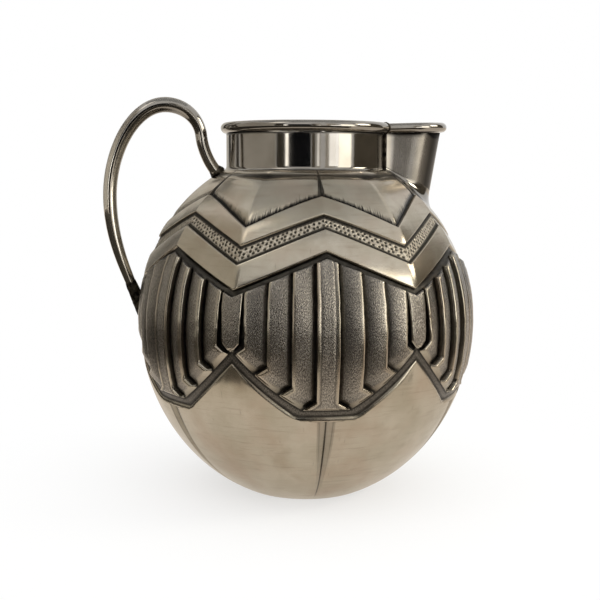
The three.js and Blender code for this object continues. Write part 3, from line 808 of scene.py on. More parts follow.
def foot_rows(skin):
    """Feet of the flutes: a bright bevel, then the turn of the gaps."""
    at, flute, oxide_and_painted_shade, matte = flute_columns(SLOT_FOOT / PITCH)
    place = kicked(at)
    start = flute_end(place / HALF_PITCHES)
    for lift, climb, most in [(0.0, 0.02, 0.15), (0.25, 0.25, 0.15), (0.7, 0.75, 0.15), (1.0, 0.97, 0.15),
                              (1.3, 1.0, 0.75)]:
        rise = lerp(-FRAME_DEPTH, flute, climb)
        bright = np.minimum(matte, most) * (1 - oxide_and_painted_shade)
        skin.add(lerp(place, at, lift / FOOT_HEIGHT), start + lift, rise, oxide_and_painted_shade, bright, hand=0.7)
    for shift in (0.5, 0.66, 0.82, 0.93):
        skin.add(lerp(place, at, shift), start + shift * FOOT_HEIGHT, flute, oxide_and_painted_shade, matte, hand=1)


def flute_rows(skin):
    """Flutes up to the groove, their slots growing narrower, with rounded upper ends."""
    foot = flute_end(kicked(FOOT_PLACES) / HALF_PITCHES) + FOOT_HEIGHT
    for step in np.linspace(0, 1, 24):
        place, flute, oxide_and_painted_shade, matte = flute_columns(lerp(SLOT_FOOT, SLOT_TOP, step) / PITCH)
        share = place / HALF_PITCHES
        skin.add(place, lerp(foot, flute_top(share) - 1.2, step), flute, oxide_and_painted_shade, matte, hand=1)
    # painted shade where the pleats turn down into the groove
    for drop, climb, dark in [(0.75, 0.97, 0.1), (0.4, 0.82, 0.35), (0.12, 0.4, 0.75), (-0.1, 0.08, 0.9)]:
        rise = lerp(-GROOVE_DEPTH, flute, climb)
        skin.add(place, flute_top(share) - drop, rise, np.maximum(oxide_and_painted_shade, dark), matte, hand=0.7)


def edge_rows(skin, edge, depth, dark, up):
    """Steep edge of a band, up from a sunk ground or down into one."""
    profile = [(-0.55, 0.0), (-0.4, 0.1), (-0.15, 0.74), (0.0, 0.88), (0.3, 0.975), (EDGE_RUN, 1.0)]
    for offset, climb in (profile if up else reversed(profile)):
        height = edge(BAND_SHARES) + (offset if up else -offset)
        rise = lerp(-depth, BAND_RISE, climb)
        # oxide and painted shade at the foot of the edge
        oxide_and_painted_shade = dark * (1 - smooth(climb * 1.1))
        skin.add(BAND_PLACES, height, rise, oxide_and_painted_shade, flat=facets(BAND_SHARES, height))


def crown_rows(skin, low, high):
    """Slightly crowned face of a band between two edges."""
    for step in (0.12, 0.3, 0.5, 0.7, 0.88):
        height = lerp(low(BAND_SHARES) + EDGE_RUN, high(BAND_SHARES) - EDGE_RUN, step)
        crown = BAND_CROWN * 4 * step * (1 - step)
        skin.add(BAND_PLACES, height, BAND_RISE + crown, flat=facets(BAND_SHARES, height))


def band_rows(skin):
    """Groove above the flutes, then the two bands with the sunk dotted ground between them."""
    groove = flute_top(BAND_SHARES)
    middle = lerp(groove, lower_edge(BAND_SHARES), 0.55)
    # oxide and painted shade in the groove
    skin.add(BAND_PLACES, groove + 0.3, -GROOVE_DEPTH, 0.95, 0.2)
    skin.add(BAND_PLACES, middle, -GROOVE_DEPTH, 0.92, 0.3)
    edge_rows(skin, lower_edge, GROOVE_DEPTH, 0.95, up=True)
    crown_rows(skin, lower_edge, dotted_edge)
    edge_rows(skin, dotted_edge, DOTTED_DEPTH, 0.95, up=False)
    for step in (0.33, 0.67):
        height = lerp(dotted_edge(BAND_SHARES), upper_edge(BAND_SHARES), step)
        skin.add(BAND_PLACES, height, -DOTTED_DEPTH, 0.9, flat=facets(BAND_SHARES, height))
    edge_rows(skin, upper_edge, DOTTED_DEPTH, 0.95, up=True)
    crown_rows(skin, upper_edge, panel_edge)
    edge_rows(skin, panel_edge, PANEL_PRESS, 0.8, up=False)


def panel_rows(skin):
    """Shoulder panels, pressed in along the upper band, with a wedge-shaped crease under every peak."""
    inside = (FOOT_PLACES < CREASE_INSIDE) * (0.85 + 0.15 * IN_CREASE)
    for step in np.concatenate([[0.0, 0.02, 0.045, 0.075, 0.11], np.linspace(0.16, 0.9, 12), [0.95, 0.98]]):
        place = BAND_PLACES
        for _ in range(3):
            share = place / HALF_PITCHES
            height = lerp(panel_edge(share) + PANEL_START, RING_HEIGHT - PANEL_END, step)
            place = gathered(FOOT_PLACES, lerp(*PANEL_CREASE, step), height)
        above = height - panel_edge(share)
        pressed = 1 - smooth(above / lerp(3.0, 5.5, share))
        wedge = IN_CREASE * lerp(1.0, 0.45, step)
        rise = -PANEL_PRESS * pressed - PANEL_CREASE_DEPTH * wedge
        # oxide and painted shade along the pressed lower edge and in the creases
        line = 0.95 * (1 - smooth((above - 0.8) / 1.6))
        stroke = 1 - smooth(above / lerp(3.2, 6.2, share))
        flat = facets(share, height) * (1 - smooth((step - 0.75) / 0.25))
        skin.add(place, height, rise, np.maximum(line, inside), stroke=stroke, flat=flat)


def ring_rows(skin):
    """Plain ring under the neck, behind a chased line that is deepest above the dips."""
    deep = 0.3 + 0.7 * (FOOT_PLACES / HALF_PITCHES) ** 2
    inside = 0.9 * (FOOT_PLACES < CREASE_INSIDE) * (0.8 + 0.2 * IN_CREASE)
    line = [(-0.9, 0.4), (-0.6, 0.95), (0.0, 1.0), (0.45, 0.9), (0.75, 0.15), (1.4, 0.0), (1.7, 0.0)]
    low = line[0][0]
    high = line[-1][0]
    for offset, depth in line:
        width = 0.35 + 1.45 * deep if abs(offset) < 1 else 1.0
        height = RING_HEIGHT + offset * width
        place = gathered(FOOT_PLACES, lerp(*RING_CREASE, (offset - low) / (high - low)), height)
        rise = -RING_LINE_DEPTH * deep * depth - RING_CREASE_DEPTH * IN_CREASE
        # oxide and painted shade in the chased line and the creases
        skin.add(place, height, rise, np.maximum(deep ** 0.3 * depth, inside))
    skin.add(gathered(FOOT_PLACES, SEAT_CREASE, SEAT_HEIGHT), SEAT_HEIGHT, 0.0)


# Chased body


def base_rows():
    """Radius and height of the plain rows of the flat base."""
    return [(0.0, 0.0), (10.0, 0.0), (22.0, 0.0), (BASE_RADIUS - 2, 0.0), (BASE_RADIUS - 0.8, 0.05)]


def hollow_rows():
    """Radius and height of the plain rows of the seat and of the body's hollow, down to its floor."""
    mouth = NECK_RADIUS - NECK_WALL
    wide = BELLY_RADIUS - WALL
    top = BELLY_HEIGHT + (SHOULDER_REACH - WALL) * math.sqrt(1 - (mouth / wide) ** 2)
    rows = [(SEAT_RADIUS - 0.6, SEAT_HEIGHT), (mouth + 0.3, SEAT_HEIGHT), (mouth, SEAT_HEIGHT - 0.3)]
    for height in np.linspace(top, HOLLOW_FLOOR + 0.4, INSIDE_ROWS):
        reach = (BOWL_REACH if height < BELLY_HEIGHT else SHOULDER_REACH) - WALL
        rows.append((wide * math.sqrt(1 - ((height - BELLY_HEIGHT) / reach) ** 2), height))
    for radius in (rows[-1][0] - 1.5, 18.0, 8.0, 0.0):
        rows.append((radius, HOLLOW_FLOOR))
    return rows


def chased_sector():
    """One repeat of the body, from dip to dip, with its attributes."""
    skin = Skin()
    for add_rows in (belly_rows, frame_rows, foot_rows, flute_rows, band_rows, panel_rows, ring_rows):
        add_rows(skin)
    rows = [whole_row(BAND_PLACES, radius, height, 0, 0, 0, 0, 0) for radius, height in base_rows()]
    for place, height, rise, oxide_and_painted_shade, matte, stroke, hand, flat in skin.rows:
        radius, lifted = body_profile(height, rise)
        rows.append([place, radius + flat, lifted, oxide_and_painted_shade, matte, stroke, hand, height])
    rows += [whole_row(BAND_PLACES, radius, height, 0, 0, 0, 0, 0) for radius, height in hollow_rows()]
    half = np.array(rows)
    mirror = half[:, :, :0:-1].copy()
    mirror[:, 0] *= -1
    grid = np.concatenate([mirror, half], 2)
    place, radius, height, oxide_and_painted_shade, matte, stroke, hand, unlifted = np.moveaxis(grid, 1, 0)
    points = round_axis(radius, math.pi / REPEATS + place * PITCH_ANGLE, height)
    sector = mesh_object("body_shell_chased", points.reshape(-1, 3), grid_faces(*place.shape))
    for name, values in (("oxide_and_painted_shade", oxide_and_painted_shade), ("matte", matte), ("stroke", stroke), ("hand", hand)):
        store(sector, name, values)
    mesh = sector.data
    unrolled = np.stack([place * PITCH * MM, unlifted * MM], -1).reshape(-1, 2)
    corner = np.zeros(len(mesh.loops), int)
    mesh.loops.foreach_get("vertex_index", corner)
    mesh.uv_layers.new(name="unrolled").data.foreach_set("uv", unrolled[corner].ravel())
    return sector


def spout_outline(inset, count):
    """Plan of the spout's nose, drawn in by an inset."""
    turn = np.linspace(-math.pi / 2, math.pi / 2, count)
    ahead = SPOUT_TIP - SPOUT_NOSE + (SPOUT_NOSE - inset) * np.cos(turn)
    return np.stack([ahead, (SPOUT_HALF - inset) * np.sin(turn)], -1)


def spout_cutter():
    """Leaning column inside the spout, which opens the shoulder under it."""
    arc = spout_outline(SPOUT_WALL + SPOUT_LEDGE, 40)
    plan = np.concatenate([[[0.0, arc[0, 1]]], arc, [[0.0, arc[-1, 1]]]])
    loops = []
    for height in (shoulder_height(SPOUT_TIP) - 6, RIM_HEIGHT):
        lean = SPOUT_LEAN * (height - SPOUT_TOP)
        loops.append(np.column_stack([plan[:, 0] + lean, plan[:, 1], np.full(len(plan), height)]))
    return loop_object("spout_opening", loops)


def chased_body():
    """Whole chased body, opened under the spout."""
    body = apply_tree(chased_sector(), ring_of_repeats, {
        "Count": REPEATS, "Weld": WELD * MM, "Uneven": 0.5 * MM, "Uneven Size": 5 * MM, "Material": CHASED})
    cutter = spout_cutter()
    cut = body.modifiers.new("opening", "BOOLEAN")
    cut.operation = "DIFFERENCE"
    cut.solver = "EXACT"
    cut.object = cutter
    mesh = evaluated_mesh(body)
    body.modifiers.clear()
    body.data = mesh
    bpy.data.objects.remove(cutter)
    outward(body)
    finish(body, 70, CHASED, "chased_silver", "body_shell")


def dotted_strip():
    """One repeat of the strip in the sunk band, closed at the back, with the places of its points along the
    band and square to it, on the slope of the shoulder."""
    steps = np.concatenate([np.linspace(0, 1, STRIP_ROWS), [1, 0]])
    front = np.concatenate([np.ones(STRIP_ROWS), np.zeros(2)])
    place = np.linspace(-HALF_PITCHES, HALF_PITCHES, STRIP_COLUMNS)
    share = np.abs(place) / HALF_PITCHES
    points = []
    for step, face in zip(steps, front):
        height = lerp(dotted_edge(share) + STRIP_GAP, upper_edge(share) - STRIP_GAP, step)
        radius, lifted = body_profile(height, -DOTTED_DEPTH + STRIP_RISE * face)
        azimuth = math.pi / REPEATS + place * PITCH_ANGLE
        points.append(round_axis(radius + facets(share, height), azimuth, lifted))
    faces = grid_faces(len(steps), STRIP_COLUMNS)
    last = (len(steps) - 1) * STRIP_COLUMNS
    faces += [(last + c, last + c + 1, c + 1, c) for c in range(STRIP_COLUMNS - 1)]
    strip = mesh_object("dotted_band_ground", np.concatenate(points), faces)

    arc = float(body_radius(dotted_edge(0.5))) * math.pi / REPEATS
    slope = math.atan((DOTTED_EDGE[1] - DOTTED_EDGE[0]) / STRIP_SLOPE / arc)
    step, at = np.meshgrid(steps, place, indexing="ij")
    share = np.abs(at) / HALF_PITCHES
    width = lerp(*DOTTED_BAND, share) / STRIP_SLOPE
    from_edge = (0.5 - np.abs(step - 0.5)) * width
    along = np.sign(at) * (share * arc / math.cos(slope) - step * width * math.sin(slope))
    store(strip, "along", along * MM)
    store(strip, "across", step * width * math.cos(slope) * MM)
    store(strip, "face", front[:, None] * smooth((from_edge - 1.5) / 0.3))
    # oxide and painted shade along both edges of the strip
    store(strip, "edge", 1 - 0.1 * smooth((from_edge - 0.45) / 0.3) - 0.9 * smooth((from_edge - 1.4) / 0.9))
    return strip


def dotted_ground():
    """Punched ground of the sunk band, all round the body."""
    ground = apply_tree(dotted_strip(), punched_ground, {
        "Spacing": 2.4 * MM, "Row": 1.7 * MM, "Radius": 0.72 * MM, "Depth": 0.35 * MM, "Jitter": 0.42 * MM,
        "Seed": 7, "Count": REPEATS, "Weld": WELD * MM, "Material": DOTTED})
    outward(ground)
    finish(ground, 60, DOTTED, "chased_silver")


# Rods, wires and the neck


def rod_piece(name, places, radii, material, steps, sides, widen=1.0, lumps=0.0, lump_size=6.0):
    """Forged rod or wire through places, with its half thickness at each."""
    curve = bpy.data.curves.new(name, "CURVE")
    curve.dimensions = "3D"
    spline = curve.splines.new("POLY")
    spline.points.add(len(places) - 1)
    for point, place, radius in zip(spline.points, places, radii):
        point.co = (*[c * MM for c in place], 1)
        point.radius = radius * MM
    rod = apply_tree(new_object(name, curve), forged_rod, {
        "Steps": steps, "Corners": sides, "Widen": widen, "Lumps": lumps * MM,
        "Lump Size": lump_size * MM, "Material": material})
    outward(rod)
    return rod


def neck_arc(radius, half_width, count):
    """Azimuths round the neck that leave the spout open."""
    end = math.asin(half_width / radius)
    return np.linspace(end, math.tau - end, count)


def neck_collar():
    """Plain upright neck, with a painted shadow under its wire."""
    inner = NECK_RADIUS - NECK_WALL
    half = SPOUT_HALF - SPOUT_WALL
    heights = np.concatenate([np.linspace(NECK_FOOT, NECK_TOP - 1, 10), NECK_TOP - np.array([0.6, 0.3, 0])])
    turns = zip(neck_arc(NECK_RADIUS, half, NECK_COLUMNS), neck_arc(inner, half, NECK_COLUMNS))
    loops = []
    for outside, inside in turns:
        loops.append(np.concatenate([round_axis(NECK_RADIUS, outside, heights),
                                     round_axis(inner, inside, heights[::-1])]))
    collar = loop_object("neck_collar_polished", loops)
    # painted shadow at the top of the neck, under the wire
    painted_shade_under_wire = np.maximum(0, 1 - (NECK_TOP - heights) / 0.9)
    darken(collar, [*painted_shade_under_wire, *painted_shade_under_wire[::-1]])
    finish(collar, 40, POLISHED, "polished_silver", "neck_collar")


def neck_wire():
    """Thick wire round the top of the neck."""
    radius = NECK_RADIUS + NECK_BEAD_OVERHANG
    turn = neck_arc(radius, SPOUT_HALF + SPOUT_BEAD_OVERHANG + SPOUT_BEAD * 0.6, NECK_BEAD_STEPS)
    places = round_axis(radius, turn, RIM_HEIGHT)
    wire = rod_piece("neck_rim_wire", places, np.full(len(places), NECK_BEAD), POLISHED,
                     steps=NECK_BEAD_STEPS, sides=28)
    finish(wire, 50, POLISHED, "polished_silver", "neck_rim_bead")


def neck_fillet():
    """Polished fillet round the foot of the neck."""
    spread = NECK_RADIUS + NECK_FILLET_WIDTH
    outer = np.array([spread, float(shoulder_height(spread)) - 0.05])
    corner = np.array([NECK_RADIUS + 0.05, NECK_FOOT - 0.2])
    upper = np.array([NECK_RADIUS + 0.02, NECK_FOOT + NECK_FILLET_HEIGHT])
    section = [bend(outer, corner, upper, share) for share in np.linspace(0, 1, FILLET_STEPS)] + [corner]
    radius, height = np.array(section).T
    turns = neck_arc(NECK_RADIUS, SPOUT_HALF + 0.4, NECK_COLUMNS)
    fillet = loop_object("neck_foot_fillet", [round_axis(radius, turn, height) for turn in turns])
    finish(fillet, 50, POLISHED, "silver_solder", "neck_solder_seam")


# Spout


def spout_point(plan_x, y, height):
    """Place on the spout for a point of its plan: it leans out and its top edge lifts."""
    x = plan_x + SPOUT_LEAN * (height - SPOUT_TOP)
    z = height + SPOUT_LIFT * (plan_x - NECK_RADIUS) / (SPOUT_TIP - NECK_RADIUS)
    return np.stack([x, y, z], -1)


def spout_sheet_points(inset, height):
    """Points of one sheet at a height in its plan, from the neck round the nose and back; the sides start
    on the neck and curve out towards it."""
    arc = spout_outline(inset, SPOUT_NOSE_COLUMNS)
    side = np.linspace(0, 1, SPOUT_SIDE_COLUMNS, endpoint=False)
    share = np.concatenate([side, np.ones(SPOUT_NOSE_COLUMNS), side[::-1]])
    nose_x, y = np.pad(arc, ((SPOUT_SIDE_COLUMNS, SPOUT_SIDE_COLUMNS), (0, 0)), mode="edge").T
    y = y + np.sign(y) * SPOUT_HOLLOW * np.clip(1 - share / SPOUT_HOLLOW_SHARE, 0, 1) ** 2
    start = np.sqrt(np.maximum((NECK_RADIUS + 0.05) ** 2 - y**2, 0)) - SPOUT_LEAN * (height - SPOUT_TOP)
    return spout_point(lerp(start, nose_x, share), y, height)


def spout_foot(inset, clear):
    """Heights in the plan at which a sheet meets the shoulder."""
    height = np.full(2 * SPOUT_SIDE_COLUMNS + SPOUT_NOSE_COLUMNS, SEAT_HEIGHT)
    for _ in range(40):
        points = spout_sheet_points(inset, height)
        radius = np.hypot(points[:, 0], points[:, 1])
        surface = shoulder_height(np.minimum(radius, BELLY_RADIUS - 1)) + clear
        height = height + 0.6 * (surface - points[:, 2])
    return height


def spout_wall():
    """Sheet of the spout, with painted dark reflections that change from the neck to the nose, and a
    painted shadow line under the wire.
    """
    rows = np.concatenate([np.linspace(0, 0.95, 20), [0.975, 0.99, 1.0]])
    foot_out = spout_foot(0.0, -SPOUT_SINK)
    foot_in = spout_foot(SPOUT_WALL, -SPOUT_SINK)
    sheets = [spout_sheet_points(0.0, lerp(foot_out, SPOUT_TOP, row)) for row in rows]
    ahead = (sheets[-1][:, 0] - NECK_RADIUS) / (SPOUT_TIP - NECK_RADIUS)
    sheets += [spout_sheet_points(SPOUT_WALL, lerp(foot_in, SPOUT_TOP, row)) for row in rows[::-1]]
    wall = loop_object("spout_wall_polished", np.stack(sheets, 1))
    # painted dark reflections on the outer sheet, from the neck round the nose
    darker_tone = np.interp(ahead, [-0.3, 0.1, 0.5, 0.62, 0.8, 0.93, 1.0], [0.1, 0.5, 0.5, 0.3, 0.85, 0.8, 0.3])
    # painted shadow under the wire, on the outer sheet only
    painted_shade_under_wire = np.interp(rows, [0.93, 0.99], [1.0, 2.2])
    darken(wall, [*painted_shade_under_wire, *np.zeros(len(rows))], darker_tone)
    finish(wall, 40, POLISHED, "polished_silver", "spout_wall")


def spout_wire():
    """Wire along the top of the spout, from inside the neck's wire round the nose and back."""
    outline = spout_outline(-SPOUT_BEAD_OVERHANG, 61)
    start = math.sqrt((NECK_RADIUS - 2.0) ** 2 - outline[0, 1] ** 2)
    ahead = [start, lerp(start, outline[0, 0], 0.5)]
    x = np.concatenate([ahead, outline[:, 0], ahead[::-1]])
    y = np.pad(outline[:, 1], len(ahead), mode="edge")
    places = spout_point(x, y, np.full(len(x), SPOUT_TOP))
    places[:, 2] += JOINT_GAP + SPOUT_BEAD
    wire = rod_piece("spout_rim_wire", places, np.full(len(places), SPOUT_BEAD), POLISHED,
                     steps=121, sides=26)
    finish(wire, 50, POLISHED, "polished_silver", "spout_rim_bead")


def spout_fillet():
    """Flared fillet along the foot of the spout, polished, with a dark line along its edge on the shoulder
    and one under the wall."""
    foot_height = spout_foot(0.0, -SPOUT_SINK)
    foot = spout_sheet_points(0.0, foot_height)
    near = 1 - smooth((foot[:, 0] - NECK_RADIUS) / SPOUT_FILLET_RUN)
    upper = spout_sheet_points(0.0, foot_height + lerp(6.0, 1.6, near))
    nose = spout_sheet_points(-SPOUT_FILLET_NOSE, spout_foot(-SPOUT_FILLET_NOSE, 0))
    side = spout_sheet_points(-SPOUT_FILLET_SIDE, spout_foot(-SPOUT_FILLET_SIDE, 0))
    wide = lerp(nose, side, near[:, None])
    wide[:, 2] = shoulder_height(np.hypot(wide[:, 0], wide[:, 1])) - lerp(2.0, 0.1, near)
    back = foot + (foot - 0.5 * (upper + wide)) * 0.4
    section = [back] + [bend(wide, foot, upper, share) for share in np.linspace(0, 1, FILLET_STEPS)]
    fillet = loop_object("spout_foot_fillet", np.stack(section, 1))
    darken(fillet, [0, 1, 0.9, 0.2, 0, 0, 0, 0, 0.1, 0.7, 0.9], near)
    finish(fillet, 50, POLISHED, "silver_solder", "spout_shoulder_solder_seam")


def spout_seam(hand, node):
    """Solder up the corner of neck and spout on one side, then over the notch where the rim wires meet."""
    y = SPOUT_HALF + SPOUT_HOLLOW + 0.2
    x = math.sqrt((NECK_RADIUS + 0.35) ** 2 - y**2)
    places = [(x, hand * y, height) for height in np.linspace(NECK_FOOT + 0.2, SPOUT_TOP - 0.4, 12)]
    radii = [0.85] * len(places)
    notch = SPOUT_HALF + SPOUT_BEAD_OVERHANG + SPOUT_BEAD
    far = math.sqrt((NECK_RADIUS + NECK_BEAD_OVERHANG + NECK_BEAD) ** 2 - notch**2)
    for turn in np.radians(np.linspace(-75, 100, 9)):
        out = math.cos(turn)
        height = RIM_HEIGHT + SPOUT_BEAD * math.sin(turn)
        places.append((lerp(x, far, out), hand * lerp(y, notch, out), height))
        radii.append(0.6)
    seam = rod_piece(node + "_line", places, radii, SOLDER, steps=90, sides=12, lumps=0.3, lump_size=2.5)
    finish(seam, 60, SOLDER, "silver_solder", node)


# Handle


def seat_on_body(piece, sink):
    """Moves what lies inside the body onto its surface, a little sunk."""
    points = point_vectors(piece, "co") / MM
    radius = np.hypot(points[:, 0], points[:, 1])
    surface = body_radius(np.clip(points[:, 2], 0, SEAT_HEIGHT)) - sink
    inside = (radius < surface) & (points[:, 2] < SEAT_HEIGHT)
    points[:, :2] *= np.where(inside, surface / np.maximum(radius, 1e-6), 1.0)[:, None]
    piece.data.vertices.foreach_set("co", (points * MM).ravel())
    piece.data.update()


def heading(degrees):
    """Direction of a slope in the handle's plane."""
    return np.array([-math.cos(math.radians(degrees)), 0.0, math.sin(math.radians(degrees))])


def handle_joints():
    """Middle of the rod at its joints: x and height, slope, reach of the bend before and after, width."""
    seat = NECK_RADIUS + HANDLE_SEAT_GAP
    foot = BELLY_HEIGHT + HANDLE_FOOT_RISE
    return [
        # on the shoulder
        (-seat, float(shoulder_height(seat)), HANDLE_SEAT_SLOPE, 6, 6, 5.8),
        # upright beside the neck
        (-NECK_RADIUS - 12.1, SEAT_HEIGHT + 16.2, 84, 6, 8, 5.8),
        # top of the bow
        (-NECK_RADIUS - 29.1, SEAT_HEIGHT + 30.9, 0, 9.5, 15, 7.3),
        # furthest from the body
        (-BELLY_RADIUS - 13.2, BELLY_HEIGHT + 59, -90, 22, 20, 6.6),
        # on the belly
        (-float(body_radius(foot)), foot, HANDLE_FOOT_SLOPE, 18, 18, 4.8),
    ]


def handle_path():
    """Places and half thicknesses along the handle, from just inside the shoulder onto the belly."""
    joints = handle_joints()
    places = []
    radii = []
    for k, (first, second) in enumerate(zip(joints, joints[1:])):
        ax, az, a_slope, _, after, a_thick = first
        bx, bz, b_slope, before, _, b_thick = second
        a = np.array([ax, 0.0, az])
        b = np.array([bx, 0.0, bz])
        knots = [a, a + heading(a_slope) * after, b - heading(b_slope) * before, b]
        for t in np.linspace(0, 1, HANDLE_STEPS, endpoint=k == len(joints) - 2):
            weights = ((1 - t) ** 3, 3 * t * (1 - t) ** 2, 3 * t * t * (1 - t), t ** 3)
            places.append(sum(weight * knot for weight, knot in zip(weights, knots)))
            radii.append(lerp(a_thick, b_thick, float(smooth(t))) / 2)
    start = places[0] - heading(HANDLE_SEAT_SLOPE) * 0.9
    tail = [places[-1] + heading(HANDLE_FOOT_SLOPE) * reach for reach in HANDLE_TAIL]
    radii = [radii[0], *radii, *[radii[-1]] * len(tail)]
    return np.array([start, *places, *tail]), np.array(radii)


def handle_rod():
    """Forged rod of the handle, with painted shade on the side that faces into its bow and a painted sheen
    that makes it lighter below the top of the bow."""
    places, radii = handle_path()
    rod = rod_piece("handle_forged_rod", places, radii - HANDLE_TRIM, POLISHED, steps=200, sides=28,
                    widen=HANDLE_WIDEN, lumps=0.12, lump_size=16)
    seat_on_body(rod, HANDLE_SINK)
    spots = point_vectors(rod, "co") / MM
    inward = np.array([-NECK_RADIUS - 22, 0, BELLY_HEIGHT + 62]) - spots
    inward /= np.linalg.norm(inward, axis=1)[:, None]
    turned = (point_vectors(rod, "normal") * inward).sum(1)
    bow = smooth((-spots[:, 0] - NECK_RADIUS - 16) / 10)
    # painted shade on the side of the bow that faces inwards
    store(rod, "oxide_and_painted_shade", 0.4 * bow * smooth(turned))
    # painted sheen: lighter on the lower part of the rod
    store(rod, "painted_sheen", smooth((SEAT_HEIGHT + 24 - spots[:, 2]) / 20))
    finish(rod, 60, POLISHED, "polished_silver", "handle_rod")


def handle_solder():
    """Lump of solder where the rod meets the shoulder, and the fillet where it meets the belly."""
    places, radii = handle_path()
    collar = [(-0.9, 3.9), (0.6, 3.8), (1.4, 3.4), (2.2, 3.0), (3.0, 2.75)]
    spots = [places[1] + heading(HANDLE_SEAT_SLOPE) * reach for reach, _ in collar]
    lump = rod_piece("handle_upper_blob", spots, [radius for _, radius in collar], SOLDER,
                     steps=24, sides=24, lumps=0.9, lump_size=2.6)
    finish(lump, 60, SOLDER, "silver_solder", "handle_upper_solder")

    foot = len(places) - 1 - len(HANDLE_TAIL)
    stretch = np.arange(foot - 5, len(places))
    swell = np.interp(stretch, [stretch[0], foot, stretch[-1]], [0.15, 0.9, 1.2])
    fillet = rod_piece("handle_lower_blob", places[stretch], radii[stretch] + swell, SOLDER,
                       steps=40, sides=24, widen=1.1, lumps=0.7, lump_size=2.8)
    seat_on_body(fillet, sink=0.3)
    finish(fillet, 60, SOLDER, "silver_solder", "handle_lower_solder")


# Stage, light and camera

# Lamps: azimuth from the camera's side and elevation in degrees, distance, width and height in metres,
# watts and colour
LAMPS = {
    "lamp_right": (55, 5, 1.6, 0.55, 1.1, 6, "#fffaec"),
    "lamp_high_right": (85, 28, 1.5, 0.5, 0.4, 6, "#fffaec"),
    "slit_left": (-27, 4, 1.35, 0.09, 0.3, 0.3, "#fffdf8"),
    "slit_front": (16, 4, 1.45, 0.07, 0.3, 0.12, "#fbfdff"),
    "lamp_front_right": (38, 4, 1.45, 0.35, 0.3, 0.8, "#fbfdff"),
    "lamp_high_left": (-50, 56, 1.5, 0.4, 0.6, 1.1, "#fffaf2"),
}

# Cards: azimuths from the camera's side in degrees, lower and upper edge and distance in metres, colour
CARDS = {
    "pale_left": (-108, -43, -0.2, 2.0, 1.6, "#c0bbb2"),
    "dark_left": (-42, -30, -0.2, 1.3, 1.6, "#4a463e"),
    "dark_front": (-24, 6, -0.1, 0.65, 1.4, "#15171b"),
    "dim_front": (7, 12, 0.0, 1.0, 1.5, "#5a5348"),
    "pale_front": (13, 19, -0.2, 1.2, 1.6, "#b8b3aa"),
    "pale_right": (26, 41, -0.2, 1.3, 1.7, "#c0bab0"),
    "dark_right": (69, 120, -0.2, 1.3, 1.5, "#5a544a"),
    "dark_far_left": (-118, -110, -0.2, 1.2, 1.6, "#4a463e"),
    "dark_back": (-146, -136, -0.2, 1.2, 1.6, "#3a362f"),
    "pale_far_left": (-135, -119, -0.2, 2.0, 1.6, "#c0bbb2"),
    "pale_back": (-195, -147, -0.2, 2.0, 1.6, "#c8c3ba"),
}
CAMERA_SIDE_DEGREES = -90 - CAMERA_TURN_DEGREES

# Height in metres that the lamps are aimed at
AIM_HEIGHT = 0.1


def paper(name, colour):
    """Matt paper of a stage piece."""
    material = bpy.data.materials.new(name)
    material.use_nodes = True
    shader = material.node_tree.nodes["Principled BSDF"]
    shader.inputs["Base Color"].default_value = linear(colour)
    shader.inputs["Roughness"].default_value = 0.9
    shader.inputs["Specular IOR Level"].default_value = 0.1
    return material


def square(name, half, height):
    """Level square, facing up, with its middle over the origin."""
    points = [(-half, -half, height), (half, -half, height), (half, half, height), (-half, half, height)]
    return mesh_object(name, points, [(0, 1, 2, 3)])


def floor():
    """Wide white floor: near the pitcher it takes the shadow, further out it is the white background."""
    ground = square("studio_floor", half=6000, height=0)
    material = paper("studio_paper", "#fcfcfb")
    tree = material.node_tree
    rays = add_node(tree, "ShaderNodeLightPath").outputs
    plain = add_node(tree, "ShaderNodeMath", {0: rays["Is Camera Ray"], 1: rays["Is Glossy Ray"]},
                     operation="MAXIMUM")
    seen = add_node(tree, "ShaderNodeMath", {0: plain, 1: rays["Is Transmission Ray"]}, operation="MAXIMUM")
    place = add_node(tree, "ShaderNodeTexCoord").outputs["Object"]
    apart = add_node(tree, "ShaderNodeVectorMath", {0: place}, operation="LENGTH")
    far = add_node(tree, "ShaderNodeMapRange", {
        "Value": apart, "From Min": 30 * MM, "From Max": 200 * MM, "To Min": 0.6, "To Max": 1.0},
        interpolation_type="SMOOTHSTEP")
    share = add_node(tree, "ShaderNodeMath", {0: far, 1: seen}, operation="MULTIPLY")
    tint = add_node(tree, "ShaderNodeMix", {
        "Factor": rays["Is Camera Ray"], FIRST: linear("#fbf0e2"), SECOND: linear("#ffffff")},
        data_type="RGBA")
    white = add_node(tree, "ShaderNodeEmission", {"Color": tint, "Strength": 1.0})
    mixed = add_node(tree, "ShaderNodeMixShader", {0: share, 1: tree.nodes["Principled BSDF"], 2: white})
    feed(tree.nodes["Material Output"], {"Surface": mixed})
    ground.data.materials.append(material)


def softbox(name, azimuth, elevation, distance, width, height, power, colour):
    """Area lamp, aimed at the body."""
    lamp = bpy.data.lights.new(name, "AREA")
    lamp.shape = "RECTANGLE"
    lamp.size = width
    lamp.size_y = height
    lamp.energy = power
    lamp.color = linear(colour)[:3]
    made = new_object(name, lamp)
    turn = math.radians(CAMERA_SIDE_DEGREES + azimuth)
    lift = math.radians(elevation)
    flat = distance * math.cos(lift)
    made.location = (flat * math.cos(turn), flat * math.sin(turn), distance * math.sin(lift) + AIM_HEIGHT)
    aim = Vector((0, 0, AIM_HEIGHT)) - made.location
    made.rotation_euler = aim.to_track_quat("-Z", "Y").to_euler()
    made.visible_camera = False


def card(made, colour):
    """Makes a sheet a card out of view, which is only seen mirrored in the silver."""
    made.data.materials.append(paper(made.name, colour))
    made.visible_camera = False
    made.visible_diffuse = False
    made.visible_shadow = False


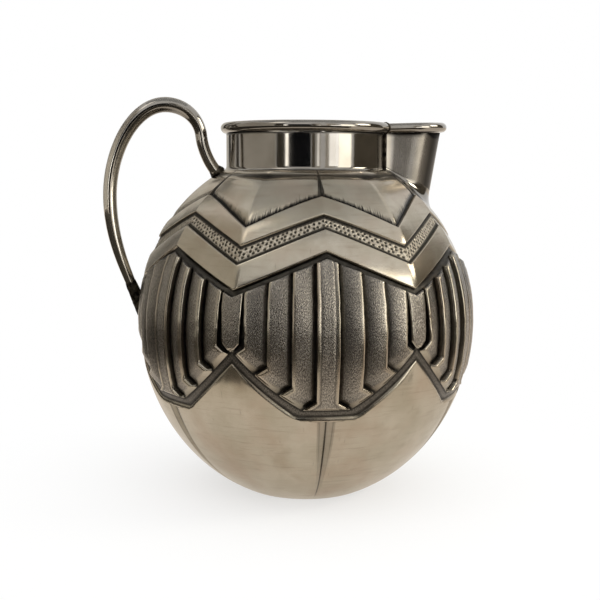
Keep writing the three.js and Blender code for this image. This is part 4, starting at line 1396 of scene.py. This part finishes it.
def curved_sheet(name, start, end, columns, inner, outer):
    """Sheet from one azimuth to another, between two edges that each have a radius and a height."""
    turns = np.radians(np.linspace(CAMERA_SIDE_DEGREES + start, CAMERA_SIDE_DEGREES + end, columns))
    points = [round_axis(radius, turns, height) for radius, height in (inner, outer)]
    return mesh_object(name, np.concatenate(points), grid_faces(2, columns))


def light():
    """White tent with a few lamps, and the cards that give the silver its light and dark stripes."""
    world = bpy.data.worlds.new("studio_tent")
    world.use_nodes = True
    world.node_tree.nodes["Background"].inputs["Color"].default_value = linear("#ffffff")
    bpy.context.scene.world = world
    for name, values in LAMPS.items():
        softbox(name, *values)
    for name, (start, end, low, high, distance, colour) in CARDS.items():
        radius = distance / MM
        edges = {"inner": (radius, low / MM), "outer": (radius, high / MM)}
        card(curved_sheet(name, start, end, columns=12, **edges), colour)
    ground = curved_sheet("dark_ground", -130, 60, columns=24, inner=(230, 1), outer=(1350, 1))
    card(ground, "#3c3831")
    card(square("pale_above", half=800, height=1500), "#b3b5b8")


def camera():
    """Camera at the photograph's place: a little towards the handle's side and above the middle."""
    data = bpy.data.cameras.new("camera")
    data.sensor_width = 36.0
    data.lens = FOCAL_PIXELS / IMAGE_PIXELS * data.sensor_width
    data.clip_start = 0.01
    made = new_object("camera", data)
    turn = Matrix.Rotation(-math.radians(CAMERA_TURN_DEGREES), 4, "Z")
    spot = Vector((0, -CAMERA_DISTANCE, CAMERA_HEIGHT)) * MM
    yaw = Matrix.Rotation(-CAMERA_YAW, 4, "Z")
    pitch = Matrix.Rotation(math.pi / 2 - CAMERA_PITCH, 4, "X")
    roll = Matrix.Rotation(CAMERA_ROLL, 4, "Z")
    made.matrix_world = turn @ Matrix.Translation(spot) @ yaw @ pitch @ roll
    bpy.context.scene.camera = made


camera()
chased_body()
dotted_ground()
neck_collar()
neck_wire()
neck_fillet()
spout_wall()
spout_wire()
spout_fillet()
spout_seam(-1, "spout_neck_solder_front")
spout_seam(1, "spout_neck_solder_rear")
handle_rod()
handle_solder()
floor()
light()
bpy.context.scene.view_settings.view_transform = "Standard"
